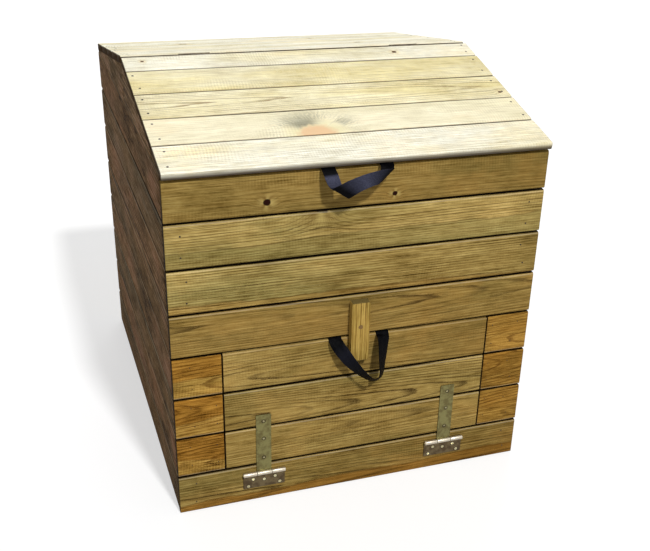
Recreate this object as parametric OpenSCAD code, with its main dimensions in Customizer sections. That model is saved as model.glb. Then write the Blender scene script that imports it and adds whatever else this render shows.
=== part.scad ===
// Wooden composter: four board walls on corner posts, a fixed rear roof slope,
// a front roof slope that lifts as a lid, and a drop-down emptying hatch held by a turn button.
// X runs to the right seen from the front, Y from front to back, Z up.
// The origin is on the ground, under the middle of the whole footprint.

/* [Body] */
// Width over the side walls
body_w = 823; // [700:1:1000]
// Depth over the front and rear walls
body_d = 944; // [910:1:990]
// How far the lid handle stands out in front of the front wall
handle_reach = 52; // [40:1:80]

/* [Boards] */
// Height of one wall board
board_h = 97; // [80:1:120]
// Air gap between wall boards
board_gap = 3; // [2.6:0.1:8]
// Thickness of the wall and roof boards
board_t = 17; // [14:0.5:22]
// Radius of the rounded long edges
edge_r = 5; // [1:0.5:6]

/* [Roof] */
// How far the ridge line lies in front of the middle of the body
ridge_off = 4; // [0:1:20]
// Height of the ridge line over the wall tops
ridge_rise = 107; // [95:1:180]
// Height of the lid's front top edge over the wall tops
lid_front_rise = 9.5; // [8:0.5:16]
// Height of the rear eave's top edge over the wall tops
eave_rise = 19.5; // [19:0.5:32]
// Overhang of the lid in front of the front wall
lid_overhang = 11.5; // [4:0.5:20]
// Width of a full roof board, as a share of half the body's depth
roof_board_share = 0.216; // [0.2:0.001:0.218]
// Gap between roof boards
roof_gap = 2.5; // [1:0.5:6]
// Thickness of the roof rails, the ridge beam and the lid's ridge rail
rail_t = 38; // [28:1:50]
// Height of the ridge beam and of the lid's ridge rail
ridge_beam_h = 62; // [50:1:80]
// Height at which a tapered roof rail is cut off at its thin end
rail_tip_h = 4; // [3:0.5:10]
// Slot between the front wall's top board and the lid, for the webbing
webbing_slot = 5.6; // [4:0.1:10]
// Seat clearance between the closed lid's rails and the wall tops
lid_seat = 0.4; // [0.3:0.1:1]

/* [Frame] */
// Side of a square corner post or jamb
post_w = 38; // [30:1:50]
// Distance of the post tops under the wall tops
post_drop = 17; // [14:1:40]
// Distance that a jamb reaches in behind the hatch, as its stop
jamb_reach = 16; // [10:1:24]

/* [Hatch] */
// Length of the short boards beside the hatch
stub_len = 103.5; // [85:0.5:130]
// Gap at each end of the hatch
hatch_gap = 3; // [2:0.5:6]
// Width of a hatch batten
batten_w = 45; // [38:1:60]
// Thickness of a hatch batten
batten_t = 19; // [14:1:24]
// Distance of the batten ends from the hatch's lower and upper edges
batten_inset = 5; // [4:1:20]
// Clearance between the hatch boards and the jambs behind them
hatch_clear = 0.4; // [0.3:0.1:1]

/* [Tee hinges] */
// Distance of each tee hinge from the hatch's end
tee_inset = 85; // [65:1:120]
// How far the tee hinge pins lie under the hatch's lower edge
tee_drop = 23; // [20:1:30]
// Width of the leaf
tee_leaf_w = 96; // [90:1:110]
// Distance from the pin to the leaf's lower edge
tee_leaf_h = 40; // [39:0.5:50]
// Width of the strap
tee_strap_w = 34; // [28:1:38]
// Distance from the pin to the strap's end, in board rows
tee_strap_rows = 1.54; // [1.46:0.01:1.7]
// Thickness of the hinge plates
tee_plate_t = 2.2; // [1.5:0.1:3]
// Outer radius of the knuckles
tee_barrel_r = 5; // [4:0.1:5.5]
// Radius of the hinge pin
tee_pin_r = 2.5; // [1.5:0.1:3]
// How far the pin stands out of the barrel at each end
tee_pin_proud = 1; // [0.5:0.5:3]
// Gap behind the hinge, which lets the knuckle turn clear of the boards
tee_standoff = 0.3; // [0.3:0.1:1]

/* [Lid hinges] */
// Distance of each lid hinge from the side face
butt_inset = 161; // [100:1:200]
// Length of a lid hinge
butt_len = 70; // [50:1:100]
// Height of a lid hinge leaf, from the pin down
butt_leaf_h = 36; // [34:1:42]
// Thickness of a lid hinge leaf
butt_leaf_t = 1.5; // [1:0.1:2]
// Outer radius of the lid hinge knuckles
butt_barrel_r = 3; // [2.8:0.1:3.2]
// Radius of the lid hinge pins
butt_pin_r = 1.5; // [1:0.1:1.8]
// Half the gap between the closed leaves
butt_half_gap = 0.5; // [0.3:0.1:1]
// Depth of the lid hinge pins under the ridge line
butt_depth = 3.2; // [3:0.1:3.6]

/* [Turn button] */
// Width of the turn button
button_w = 41; // [30:1:50]
// Thickness of the turn button
button_t = 17.5; // [14:0.5:24]
// Length of the arm that reaches down over the hatch
button_low = 84; // [70:1:100]
// Length of the arm over the pivot
button_high = 59; // [40:1:66]
// Height of the pivot over the lower edge of its board
button_rise = 27; // [24:1:32]
// Distance of the pivot from the middle, to the left
button_off = 7; // [0:1:40]
// Gap between the turn button and the boards
button_gap = 0.5; // [0.4:0.1:2]
// Radius of the turn button's corners
button_r = 4; // [1:0.5:10]
// Radius of the pivot screw's shank
button_screw_r = 2.5; // [2:0.1:3]

/* [Screws] */
// Radius of a screw shank
screw_r = 1.75; // [1.5:0.05:2]
// Radius of a countersunk screw head
screw_head_r = 3.4; // [3:0.1:3.6]
// Length of the screws of the tee hinge leaves
leaf_screw_len = 16; // [10:1:17]
// Length of the screws of the tee hinge straps, which reach into the battens
strap_screw_len = 25; // [22:1:34]
// Length of the screws of the lid hinges
butt_screw_len = 16; // [10:1:30]
// Length of the screws of the webbing handles
handle_screw_len = 12; // [8:1:13]

/* [Webbing] */
// Width of the webbing
webbing_w = 29; // [20:1:32]
// Thickness of the webbing
webbing_t = 1.6; // [1:0.1:1.8]

/* [Fits] */
// Clearance between pieces that are fixed to each other
fit = 0.1; // [0.05:0.05:0.2]
// Radial clearance of a hinge pin in its knuckles
pin_fit = 0.06; // [0.02:0.01:0.1]
// Gap between neighbouring knuckles
knuckle_gap = 0.3; // [0.2:0.1:1]

/* [Hidden] */

// Wood and metal colours
pine = [0.62, 0.52, 0.28];
amber_pine = [0.66, 0.46, 0.20];
shaded_pine = [0.42, 0.34, 0.24];
pale_pine = [0.90, 0.86, 0.68];
frame_pine = [0.58, 0.47, 0.30];
button_pine = [0.74, 0.62, 0.34];
zinc = [0.62, 0.60, 0.50];
webbing_black = [0.05, 0.05, 0.06];

wall_rows = 8;
rows_under_hatch = 1;
hatch_rows = 3;
full_roof_boards = 4;
pitch = board_h + board_gap;
wall_top = wall_rows * pitch - board_gap;

front_y = -body_d / 2 + handle_reach / 2;
rear_y = front_y + body_d;
side_x = body_w / 2;
inner_x = side_x - board_t;
inner_front_y = front_y + board_t;
inner_rear_y = rear_y - board_t;

// Roof planes: each is the top of its slope, and runs down from the ridge line
ridge_back = body_d / 2 - ridge_off;
ridge_y = front_y + ridge_back;
ridge_z = wall_top + ridge_rise;
lid_run = ridge_back + lid_overhang;
lid_angle = atan((ridge_rise - lid_front_rise) / lid_run);
rear_run = rear_y - ridge_y;
rear_angle = atan((ridge_rise - eave_rise) / rear_run);
function lid_under(y) = ridge_z - board_t / cos(lid_angle) - (ridge_y - y) * tan(lid_angle);
function rear_under(y) = ridge_z - board_t / cos(rear_angle) - (y - ridge_y) * tan(rear_angle);

// The rails and leaves at the ridge stand this far from the ridge line
ridge_half = butt_half_gap + butt_leaf_t + fit;
board_half = ridge_half + 0.2;
butt_z = ridge_z - butt_depth;
lid_s0 = (board_half + board_t * sin(lid_angle)) / cos(lid_angle);
rear_s0 = (board_half + board_t * sin(rear_angle)) / cos(rear_angle);
lid_slope_len = lid_run / cos(lid_angle);
rear_slope_len = rear_run / cos(rear_angle);
roof_board_w = roof_board_share * body_d / 2;
roof_pitch = roof_board_w + roof_gap;

// Tapered rails start where the underside of the boards is rail_tip_h over their lower face
lid_rail_z = wall_top + lid_seat;
lid_rail_y = ridge_y - (lid_under(ridge_y) - lid_rail_z - rail_tip_h) / tan(lid_angle);
roof_rail_z = wall_top + fit;
roof_rail_y = ridge_y + (rear_under(ridge_y) - roof_rail_z - rail_tip_h) / tan(rear_angle);

hatch_half = side_x - stub_len - hatch_gap;
stub_x = side_x - stub_len;
rows_to_hatch_top = rows_under_hatch + hatch_rows;
hatch_z = rows_under_hatch * pitch;
hatch_top = rows_to_hatch_top * pitch - board_gap;
jamb_x = stub_x - jamb_reach;
jamb_top = (rows_to_hatch_top + 1) * pitch - board_gap;

tee_x = hatch_half - tee_inset;
tee_z = hatch_z - tee_drop;
tee_strap_len = tee_strap_rows * pitch;
tee_y = front_y - tee_standoff - tee_barrel_r;
tee_bore_r = tee_pin_r + pin_fit;
tee_corner = 2;
// Screw holes from the middle of the pin, across and up
low_hole_x = 0.38 * tee_leaf_w;
low_hole_z = -0.85 * tee_leaf_h;
high_hole_x = 0.265 * tee_leaf_w;
high_hole_z = -0.41 * tee_leaf_h;
leaf_holes = [
    [-low_hole_x, low_hole_z], [low_hole_x, low_hole_z],
    [-high_hole_x, high_hole_z], [high_hole_x, high_hole_z], [0, 1.25 * high_hole_z]
];
strap_holes = [0.26 * tee_strap_len, 0.59 * tee_strap_len, 0.89 * tee_strap_len];

butt_x = side_x - butt_inset;
butt_bore_r = butt_pin_r + pin_fit;
butt_knuckles = 5;
butt_hole_drop = 0.75 * butt_leaf_h;
butt_hole_xs = [-0.31 * butt_len, 0.31 * butt_len];

button_y = front_y - button_gap - button_t;
button_z = rows_to_hatch_top * pitch + button_rise;
button_head_r = 5;
button_head_h = 3;
button_screw_fit = 0.08;
button_screw_len = 33;

screw_head_h = 1.9;
screw_point_h = 3;
pan_head_r = 4;
pan_head_h = 2;
steps = 32;

// Webbing routes: across from the middle, out from the front face, and up from the lid's underside
// there or from the hatch's top, in hundredths of a board row. Then, for each point, the way from its
// middle to one edge, as a share of half the width. That is over 1 where a fold crosses it aslant.
row_unit = pitch / 100;
webbing_seat = webbing_t / 2 + 0.2;
lid_end_left = -84 * row_unit;
lid_end_right = 39 * row_unit;
lid_end_y = 42 * row_unit;
lid_screw_y = 30 * row_unit;
hatch_end_left = -59 * row_unit;
hatch_end_right = 50 * row_unit;
hatch_end_drop = 35 * row_unit;
hatch_screw_drop = 25 * row_unit;
hatch_screw_z = hatch_top - hatch_screw_drop;

function backwards(p) = [for (i = [len(p) - 1:-1:0]) p[i]];
function scaled(p, from_z) = [for (q = p) [q[0] * row_unit, q[1] * row_unit, from_z + q[2] * row_unit]];
function under_lid(x) = [for (y = [lid_end_y, lid_screw_y, board_t * 0.7, -lid_overhang * 0.17])
    [x, y, lid_under(front_y + y) - webbing_seat]];
lid_route = concat(
    under_lid(lid_end_left),
    scaled([
        [-84, -11, -5], [-82.1, -19.5, -12.3], [-78.7, -30, -26.5], [-73.5, -38.5, -37.7],
        [-70.5, -43, -42.4], [-66.9, -47, -39.7], [-56, -49.5, -33.3], [-41.7, -49.5, -26.8],
        [-22.4, -47, -21.4], [-2.1, -42.5, -18.3], [16, -37.5, -17.5], [28.6, -33.2, -17.1],
        [32.7, -29.5, -18.2], [33.7, -25.6, -15.3], [35.8, -19, -8.6], [38.6, -12, -5.2]
    ], lid_under(front_y)),
    backwards(under_lid(lid_end_right))
);
lid_edges = concat(
    [for (i = [0:3]) [1, 0, 0]],
    [
        [1, 0, 0], [0.99, 0, 0.06], [0.99, -0.07, -0.06], [1.06, -0.1, -0.41],
        [1.12, -0.14, -0.73], [1.1, -0.21, -0.71], [0.98, -0.31, -0.68], [0.72, -0.28, -0.77],
        [0.47, -0.21, -0.84], [0.1, -0.07, -0.96], [-0.36, -0.04, -1.01], [-0.87, -0.02, -0.93],
        [-0.96, 0.01, -0.94], [-0.94, 0.02, -0.77], [-0.96, 0.03, -0.36], [-1, 0, -0.03]
    ],
    [for (i = [0:3]) [-1, 0, 0]]
);
// The webbing is bent round the rounded edges of the hatch's top board
bend_r = edge_r + webbing_seat + 0.1;
bend_mid = bend_r * cos(45);
bend_z = hatch_top - edge_r;
bend_back = board_t - edge_r;
function hatch_inside(x) = [
    [x, bend_back + bend_r, hatch_top - hatch_end_drop], [x, bend_back + bend_r, hatch_screw_z],
    [x, bend_back + bend_r, bend_z], [x, bend_back + bend_mid, bend_z + bend_mid],
    [x, bend_back, bend_z + bend_r], [x, edge_r, bend_z + bend_r],
    [x, edge_r - bend_mid, bend_z + bend_mid]
];
hatch_route = concat(
    hatch_inside(hatch_end_left),
    scaled([
        [-59, -4, -4.5], [-54.8, -13, -13.5], [-43.6, -22.5, -31], [-34.3, -28, -44.4],
        [-24.7, -32, -56.6], [-12.2, -35, -70.7], [1.4, -37, -84.4], [14.6, -38, -94.2],
        [27.2, -37.5, -96.6], [36.4, -36, -91.8], [40.8, -34, -80.2], [41.9, -31, -63],
        [43.8, -26.5, -40.3], [46.6, -19, -18.5], [48.6, -11, -7.5], [49.6, -4, -4.5]
    ], hatch_top),
    backwards(hatch_inside(hatch_end_right))
);
hatch_edges = concat(
    [for (i = [0:6]) [1, 0, 0]],
    [
        [0.97, 0.11, 0.2], [0.86, -0.03, 0.52], [0.79, -0.14, 0.59], [0.69, -0.34, 0.64],
        [0.58, -0.52, 0.63], [0.46, -0.69, 0.56], [0.35, -0.79, 0.5], [0.23, -0.83, 0.51],
        [-0.01, -0.72, 0.69], [-0.45, -0.72, 0.53], [-0.61, -0.75, 0.25], [-0.71, -0.68, 0.18],
        [-0.81, -0.54, 0.23], [-0.9, -0.33, 0.29], [-0.97, -0.02, 0.23], [-0.99, 0.07, 0.09]
    ],
    [for (i = [0:6]) [-1, 0, 0]]
);
route_steps = 2;

// Points on an arc, and the outline of a rectangle with rounded corners
function arc(cx, cy, r, from) = [for (a = [0:22.5:90]) [cx + r * cos(from + a), cy + r * sin(from + a)]];
function rounded(w, h, r) = concat(
    arc(w - r, h - r, r, 0), arc(r, h - r, r, 90), arc(r, r, r, 180), arc(w - r, r, r, 270)
);

// A board that runs along X, centred on it, with its lower front corner on the X axis
module board_along_x(length, width_y, height_z, r = edge_r) {
    translate([-length / 2, 0, 0])
        rotate([90, 0, 90])
            linear_extrude(length) polygon(rounded(width_y, height_z, r));
}

// A board that runs along Y from the origin
module board_along_y(length, width_x, height_z, r = edge_r) {
    translate([0, length, 0])
        rotate([90, 0, 0])
            linear_extrude(length) polygon(rounded(width_x, height_z, r));
}

// A prism along X from an outline in Y and Z
module prism_x(x_from, x_to, outline) {
    translate([x_from, 0, 0])
        rotate([90, 0, 90])
            linear_extrude(x_to - x_from) polygon(outline);
}

// A countersunk screw, which points along +Z with its head's top at the origin
module screw_shape(length, grow = 0) {
    rotate_extrude($fn = steps)
        polygon([
            [0, 0], [screw_head_r + grow, 0], [screw_r + grow, screw_head_h],
            [screw_r + grow, length - screw_point_h + grow], [0, length + grow]
        ]);
}

// A pan head screw, which points along +Z with the underside of its head at the origin
module pan_screw_shape(length, grow = 0) {
    rotate_extrude($fn = steps)
        polygon([
            [0, -pan_head_h], [pan_head_r * 0.6, -pan_head_h], [pan_head_r, -pan_head_h * 0.4],
            [pan_head_r, 0], [screw_r + grow, 0],
            [screw_r + grow, length - screw_point_h + grow], [0, length + grow]
        ]);
}

// Something on the front face that points into the wall
module into_wall(x, y, z) {
    translate([x, y, z]) rotate([-90, 0, 0]) children();
}

// Places for the screws
tee_front_y = front_y - tee_standoff - tee_plate_t;
module each_leaf_screw() {
    for (side = [-1, 1], hole = leaf_holes)
        into_wall(side * tee_x + hole[0], tee_front_y, tee_z + hole[1]) children();
}
module each_strap_screw() {
    for (side = [-1, 1], up = strap_holes)
        into_wall(side * tee_x, tee_front_y, tee_z + up) children();
}
module each_hatch_handle_screw() {
    for (x = [hatch_end_left, hatch_end_right])
        translate([x, inner_front_y + webbing_t + 0.3, hatch_screw_z]) rotate([90, 0, 0]) children();
}
module each_lid_handle_screw() {
    for (x = [lid_end_left, lid_end_right])
        translate([x, front_y + lid_screw_y, lid_under(front_y + lid_screw_y)])
            rotate([lid_angle, 0, 0])
                translate([0, 0, -webbing_t - 0.3]) children();
}
module each_lid_hinge_screw() {
    for (side = [-1, 1], x = butt_hole_xs)
        translate([side * butt_x + x, ridge_y - butt_half_gap, butt_z - butt_hole_drop])
            rotate([90, 0, 0]) children();
}
module each_beam_screw() {
    for (side = [-1, 1], x = butt_hole_xs)
        translate([side * butt_x + x, ridge_y + butt_half_gap, butt_z - butt_hole_drop])
            rotate([-90, 0, 0]) children();
}

// Walls
module wall_board_x(row, height = board_h) {
    translate([0, front_y, (row - 1) * pitch]) board_along_x(body_w, board_t, height);
}

module front_board_1() {
    color(pine) difference() {
        wall_board_x(1);
        each_leaf_screw() screw_shape(leaf_screw_len, fit);
    }
}

module front_board_5() {
    color(pine) difference() {
        wall_board_x(5);
        into_wall(-button_off, front_y - 1, button_z)
            cylinder(r = button_screw_r + fit, h = board_t + 2, $fn = steps);
    }
}

module front_board_8() {
    top = lid_under(front_y) - webbing_slot;
    color(pine) wall_board_x(wall_rows, top - (wall_rows - 1) * pitch);
}

module front_stubs(side) {
    color(amber_pine) for (row = [rows_under_hatch + 1:rows_to_hatch_top])
        translate([side * (side_x - stub_len / 2), front_y, (row - 1) * pitch])
            board_along_x(stub_len, board_t, board_h);
}

module side_board(side, row) {
    x = side < 0 ? -side_x : inner_x;
    color(shaded_pine) difference() {
        translate([x, inner_front_y + fit, (row - 1) * pitch])
            board_along_y(rear_y - inner_front_y - fit, board_t, board_h);
        // The top board is bevelled under the lid's front board
        if (row == wall_rows)
            translate([0, ridge_y, ridge_z])
                rotate([lid_angle, 0, 0])
                    translate([-body_w, -body_d, -board_t - lid_seat])
                        cube([2 * body_w, body_d, 4 * board_t]);
    }
}

// The rear boards lie between the side boards
module back_boards() {
    color(shaded_pine) for (row = [1:wall_rows])
        translate([0, inner_rear_y, (row - 1) * pitch])
            board_along_x(2 * (inner_x - fit), board_t, board_h);
}

// Frame
module post(x, y) {
    color(frame_pine) translate([x, y, 0]) cube([post_w, post_w, wall_top - post_drop]);
}
module front_post(side) {
    post(side < 0 ? -inner_x + fit : inner_x - post_w - fit, inner_front_y + fit);
}
module rear_post(side) {
    post(side < 0 ? -inner_x + fit : inner_x - post_w - fit, inner_rear_y - post_w - fit);
}
module hatch_jamb(side) {
    x = side < 0 ? -jamb_x - post_w : jamb_x;
    color(frame_pine) translate([x, inner_front_y + hatch_clear, 0]) cube([post_w, post_w, jamb_top]);
}

// Roof
module rear_slope() {
    translate([0, ridge_y, ridge_z]) rotate([-rear_angle, 0, 0]) children();
}
module lid_slope() {
    translate([0, ridge_y, ridge_z]) rotate([lid_angle, 0, 0]) children();
}

// Roof boards are counted from the ridge: the first is cut to fill what the full ones leave
function board_to(i, length) = length - (full_roof_boards + 1 - i) * roof_pitch;
function board_from(i, s0, length) = i == 1 ? s0 : board_to(i, length) - roof_board_w;

module roof_board(i) {
    from = board_from(i, rear_s0, rear_slope_len);
    to = board_to(i, rear_slope_len);
    color(pale_pine) rear_slope()
        translate([0, from, -board_t]) board_along_x(body_w, to - from, board_t);
}

module lid_board(i) {
    from = board_from(i, lid_s0, lid_slope_len);
    to = board_to(i, lid_slope_len);
    color(pale_pine) difference() {
        lid_slope() translate([0, -to, -board_t]) board_along_x(body_w, to - from, board_t);
        if (i == full_roof_boards + 1) each_lid_handle_screw() pan_screw_shape(handle_screw_len, fit);
    }
}

module roof_rail(side) {
    x = side < 0 ? -side_x : side_x - rail_t;
    near = ridge_y + ridge_half;
    color(shaded_pine) prism_x(x, x + rail_t, [
        [near, roof_rail_z], [roof_rail_y, roof_rail_z],
        [roof_rail_y, rear_under(roof_rail_y) - fit], [near, rear_under(near) - fit]
    ]);
}

module lid_rail(side) {
    x = side < 0 ? -side_x : side_x - rail_t;
    near = ridge_y - ridge_half;
    color(shaded_pine) prism_x(x, x + rail_t, [
        [lid_rail_y, lid_rail_z], [near, lid_rail_z],
        [near, lid_under(near) - fit], [lid_rail_y, lid_under(lid_rail_y) - fit]
    ]);
}

module ridge_beam() {
    half = side_x - rail_t - fit;
    near = ridge_y + ridge_half;
    far = near + rail_t;
    low = rear_under(near) - ridge_beam_h;
    color(frame_pine) difference() {
        prism_x(-half, half, [
            [near, low], [far, low], [far, rear_under(far) - fit], [near, rear_under(near) - fit]
        ]);
        each_beam_screw() screw_shape(butt_screw_len, fit);
    }
}

module lid_ridge_rail() {
    half = side_x - rail_t - fit;
    near = ridge_y - ridge_half;
    far = near - rail_t;
    low = lid_under(near) - ridge_beam_h;
    color(frame_pine) difference() {
        prism_x(-half, half, [
            [far, low], [near, low], [near, lid_under(near) - fit], [far, lid_under(far) - fit]
        ]);
        each_lid_hinge_screw() screw_shape(butt_screw_len, fit);
    }
}

// Lid hinges: the knuckles lie in the groove between the two slopes' top boards
function is_fixed(k) = k % 2 == 0;
module butt_knuckle_at(k, r, extra = 0) {
    length = butt_len / butt_knuckles;
    translate([-butt_len / 2 + k * length + knuckle_gap / 2 - extra, 0, 0])
        rotate([0, 90, 0]) cylinder(r = r, h = length - knuckle_gap + 2 * extra, $fn = steps);
}

// One leaf, on the +Y side of the pin, with the knuckles of the fixed or of the moving leaf
module butt_leaf(fixed) {
    difference() {
        union() {
            translate([-butt_len / 2, butt_half_gap, -butt_leaf_h])
                cube([butt_len, butt_leaf_t, butt_leaf_h]);
            for (k = [0:butt_knuckles - 1]) if (is_fixed(k) == fixed) butt_knuckle_at(k, butt_barrel_r);
        }
        for (k = [0:butt_knuckles - 1]) if (is_fixed(k) != fixed)
            butt_knuckle_at(k, butt_barrel_r + knuckle_gap, knuckle_gap);
        translate([-butt_len, 0, 0])
            rotate([0, 90, 0]) cylinder(r = butt_bore_r, h = 2 * butt_len, $fn = steps);
        for (x = butt_hole_xs)
            translate([x, butt_half_gap, -butt_hole_drop])
                rotate([-90, 0, 0]) screw_shape(butt_screw_len, fit);
    }
}

module lid_hinge_fixed_leaves() {
    color(zinc) for (side = [-1, 1])
        translate([side * butt_x, ridge_y, butt_z]) butt_leaf(true);
}
module lid_hinge_moving_leaves() {
    color(zinc) for (side = [-1, 1])
        translate([side * butt_x, ridge_y, butt_z]) mirror([0, 1, 0]) butt_leaf(false);
}
module lid_hinge_pins() {
    color(zinc) for (side = [-1, 1])
        translate([side * butt_x - butt_len / 2, ridge_y, butt_z])
            rotate([0, 90, 0]) cylinder(r = butt_pin_r, h = butt_len, $fn = steps);
}

// Tee hinges: the leaf is on the lowest board and the strap is on the hatch
function low_plate(w, h, r) = concat([[w, h], [0, h]], arc(r, r, r, 180), arc(w - r, r, r, 270));
function high_plate(w, h, r) = concat(arc(w - r, h - r, r, 0), arc(r, h - r, r, 90), [[0, 0], [w, 0]]);
module plate(outline) {
    translate([0, tee_barrel_r, 0]) rotate([90, 0, 0]) linear_extrude(tee_plate_t) polygon(outline);
}
module tee_tube(w, r) {
    translate([-w / 2, 0, 0]) rotate([0, 90, 0]) cylinder(r = r, h = w, $fn = steps);
}
module tee_leaf(side) {
    notch = tee_strap_w + 2 * knuckle_gap;
    color(zinc) difference() {
        translate([side * tee_x, tee_y, tee_z]) difference() {
            union() {
                translate([-tee_leaf_w / 2, 0, -tee_leaf_h])
                    plate(low_plate(tee_leaf_w, tee_leaf_h, tee_corner));
                tee_tube(tee_leaf_w, tee_barrel_r);
            }
            translate([-notch / 2, -2 * tee_barrel_r, -tee_barrel_r - knuckle_gap])
                cube([notch, 4 * tee_barrel_r, 2 * tee_barrel_r + 2 * knuckle_gap]);
            tee_tube(2 * tee_leaf_w, tee_bore_r);
        }
        each_leaf_screw() screw_shape(leaf_screw_len, fit);
    }
}
module tee_strap(side) {
    color(zinc) difference() {
        translate([side * tee_x, tee_y, tee_z]) difference() {
            union() {
                translate([-tee_strap_w / 2, 0, 0])
                    plate(high_plate(tee_strap_w, tee_strap_len, tee_corner));
                tee_tube(tee_strap_w, tee_barrel_r);
            }
            tee_tube(2 * tee_strap_w, tee_bore_r);
        }
        each_strap_screw() screw_shape(strap_screw_len, fit);
    }
}
module hatch_hinge_pins() {
    color(zinc) for (side = [-1, 1])
        translate([side * tee_x, tee_y, tee_z]) tee_tube(tee_leaf_w + 2 * tee_pin_proud, tee_pin_r);
}
module hinge_leaf_screws() {
    color(zinc) {
        each_leaf_screw() screw_shape(leaf_screw_len);
        each_beam_screw() screw_shape(butt_screw_len);
    }
}

// Hatch
module hatch_board(row) {
    color(pine) difference() {
        translate([0, front_y, (row - 1) * pitch]) board_along_x(2 * hatch_half, board_t, board_h);
        if (row < rows_to_hatch_top) each_strap_screw() screw_shape(strap_screw_len, fit);
        if (row == rows_to_hatch_top) each_hatch_handle_screw() pan_screw_shape(handle_screw_len, fit);
    }
}
module hatch_batten(side) {
    low = hatch_z + batten_inset;
    color(frame_pine) difference() {
        translate([side * tee_x - batten_w / 2, inner_front_y + fit, low])
            cube([batten_w, batten_t, hatch_top - batten_inset - low]);
        each_strap_screw() screw_shape(strap_screw_len, fit);
    }
}
module hatch_screws() {
    color(zinc) {
        each_strap_screw() screw_shape(strap_screw_len);
        each_hatch_handle_screw() pan_screw_shape(handle_screw_len);
    }
}
module lid_screws() {
    color(zinc) {
        each_lid_hinge_screw() screw_shape(butt_screw_len);
        each_lid_handle_screw() pan_screw_shape(handle_screw_len);
    }
}

// Turn button on its pivot screw
module button_screw_shape(grow) {
    rotate_extrude($fn = steps)
        polygon([
            [0, 0], [button_head_r + grow, 0], [button_screw_r + grow, button_head_h],
            [button_screw_r + grow, button_screw_len], [0, button_screw_len]
        ]);
}
module turn_button() {
    length = button_low + button_high;
    color(button_pine) difference() {
        translate([-button_off - button_w / 2, front_y - button_gap, button_z - button_low])
            rotate([90, 0, 0])
                linear_extrude(button_t) polygon(rounded(button_w, length, button_r));
        into_wall(-button_off, button_y, button_z) button_screw_shape(button_screw_fit);
    }
}
module turn_button_screw() {
    color(zinc) into_wall(-button_off, button_y, button_z) button_screw_shape(0);
}

// Webbing: a flat band swept along its route
function unit(v) = v / norm(v);
function curve(a, b, c, d, t) = 0.5 * (2 * b + (c - a) * t + (2 * a - 5 * b + 4 * c - d) * t * t
    + (3 * b - a - 3 * c + d) * t * t * t);
function smooth(p) = let (n = len(p)) concat(
    [for (i = [0:n - 2], j = [0:route_steps - 1])
        curve(p[max(i - 1, 0)], p[i], p[i + 1], p[min(i + 2, n - 1)], j / route_steps)],
    [p[n - 1]]
);
module webbing(route, edges) {
    p = smooth([for (q = route) [q[0], front_y + q[1], q[2]]]);
    w = smooth(edges);
    n = len(p);
    rings = [for (i = [0:n - 1])
        let (
            along = unit(p[min(i + 1, n - 1)] - p[max(i - 1, 0)]),
            a = w[i] * webbing_w / 2,
            b = unit(cross(along, a)) * webbing_t / 2
        )
        each [p[i] + a + b, p[i] - a + b, p[i] - a - b, p[i] + a - b]
    ];
    sides = [for (i = [0:n - 2], k = [0:3])
        let (a = 4 * i + k, b = 4 * i + (k + 1) % 4)
        each [[a, a + 4, b], [b, a + 4, b + 4]]
    ];
    last = 4 * (n - 1);
    ends = [[0, 1, 2], [0, 2, 3], [last, last + 2, last + 1], [last, last + 3, last + 2]];
    polyhedron(rings, concat(sides, ends));
}
module lid_handle() {
    color(webbing_black) webbing(lid_route, lid_edges);
}
module hatch_handle() {
    color(webbing_black) webbing(hatch_route, hatch_edges);
}

front_board_1();
front_board_5();
color(pine) wall_board_x(6);  // front_board_6
color(pine) wall_board_x(7);  // front_board_7
front_board_8();
front_stubs(-1);  // front_stubs_left
front_stubs(1);  // front_stubs_right
for (row = [1:wall_rows])
    side_board(-1, row);
for (row = [1:wall_rows]) side_board(1, row);  // right_boards
back_boards();
front_post(-1);  // front_post_left
front_post(1);  // front_post_right
rear_post(-1);  // rear_post_left
rear_post(1);  // rear_post_right
hatch_jamb(-1);  // hatch_jamb_left
hatch_jamb(1);  // hatch_jamb_right
roof_rail(-1);  // roof_rail_left
roof_rail(1);  // roof_rail_right
ridge_beam();
for (i = [1:full_roof_boards + 1])
    roof_board(i);
tee_leaf(-1);  // hatch_hinge_leaf_left
tee_leaf(1);  // hatch_hinge_leaf_right
hatch_hinge_pins();
hinge_leaf_screws();
lid_hinge_fixed_leaves();
lid_hinge_pins();
turn_button_screw();
for (i = [1:full_roof_boards + 1])
    lid_board(i);
lid_rail(-1);  // lid_rail_left
lid_rail(1);  // lid_rail_right
lid_ridge_rail();
lid_hinge_moving_leaves();
lid_screws();
lid_handle();
for (i = [1:hatch_rows])
    hatch_board(rows_under_hatch + i);
hatch_batten(-1);  // hatch_batten_left
hatch_batten(1);  // hatch_batten_right
tee_strap(-1);  // hatch_hinge_strap_left
tee_strap(1);  // hatch_hinge_strap_right
hatch_screws();
hatch_handle();
turn_button();
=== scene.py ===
import math
import random

import bmesh
import bpy
from mathutils import Matrix, Vector


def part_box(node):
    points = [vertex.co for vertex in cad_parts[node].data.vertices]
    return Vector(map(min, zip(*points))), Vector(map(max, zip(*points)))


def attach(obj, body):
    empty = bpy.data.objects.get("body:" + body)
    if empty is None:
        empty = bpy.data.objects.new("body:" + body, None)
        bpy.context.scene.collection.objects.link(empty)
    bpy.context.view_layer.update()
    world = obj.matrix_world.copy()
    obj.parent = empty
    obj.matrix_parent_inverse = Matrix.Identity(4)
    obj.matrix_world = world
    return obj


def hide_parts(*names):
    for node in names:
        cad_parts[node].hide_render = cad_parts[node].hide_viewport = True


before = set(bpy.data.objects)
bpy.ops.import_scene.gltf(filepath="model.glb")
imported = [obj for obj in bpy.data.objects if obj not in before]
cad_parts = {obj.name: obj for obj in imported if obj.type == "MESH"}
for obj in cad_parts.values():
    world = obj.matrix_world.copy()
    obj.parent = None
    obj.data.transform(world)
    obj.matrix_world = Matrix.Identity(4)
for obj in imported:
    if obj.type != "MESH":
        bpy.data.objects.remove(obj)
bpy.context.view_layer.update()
print("frame loaded:", len(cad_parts), "nodes")

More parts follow.
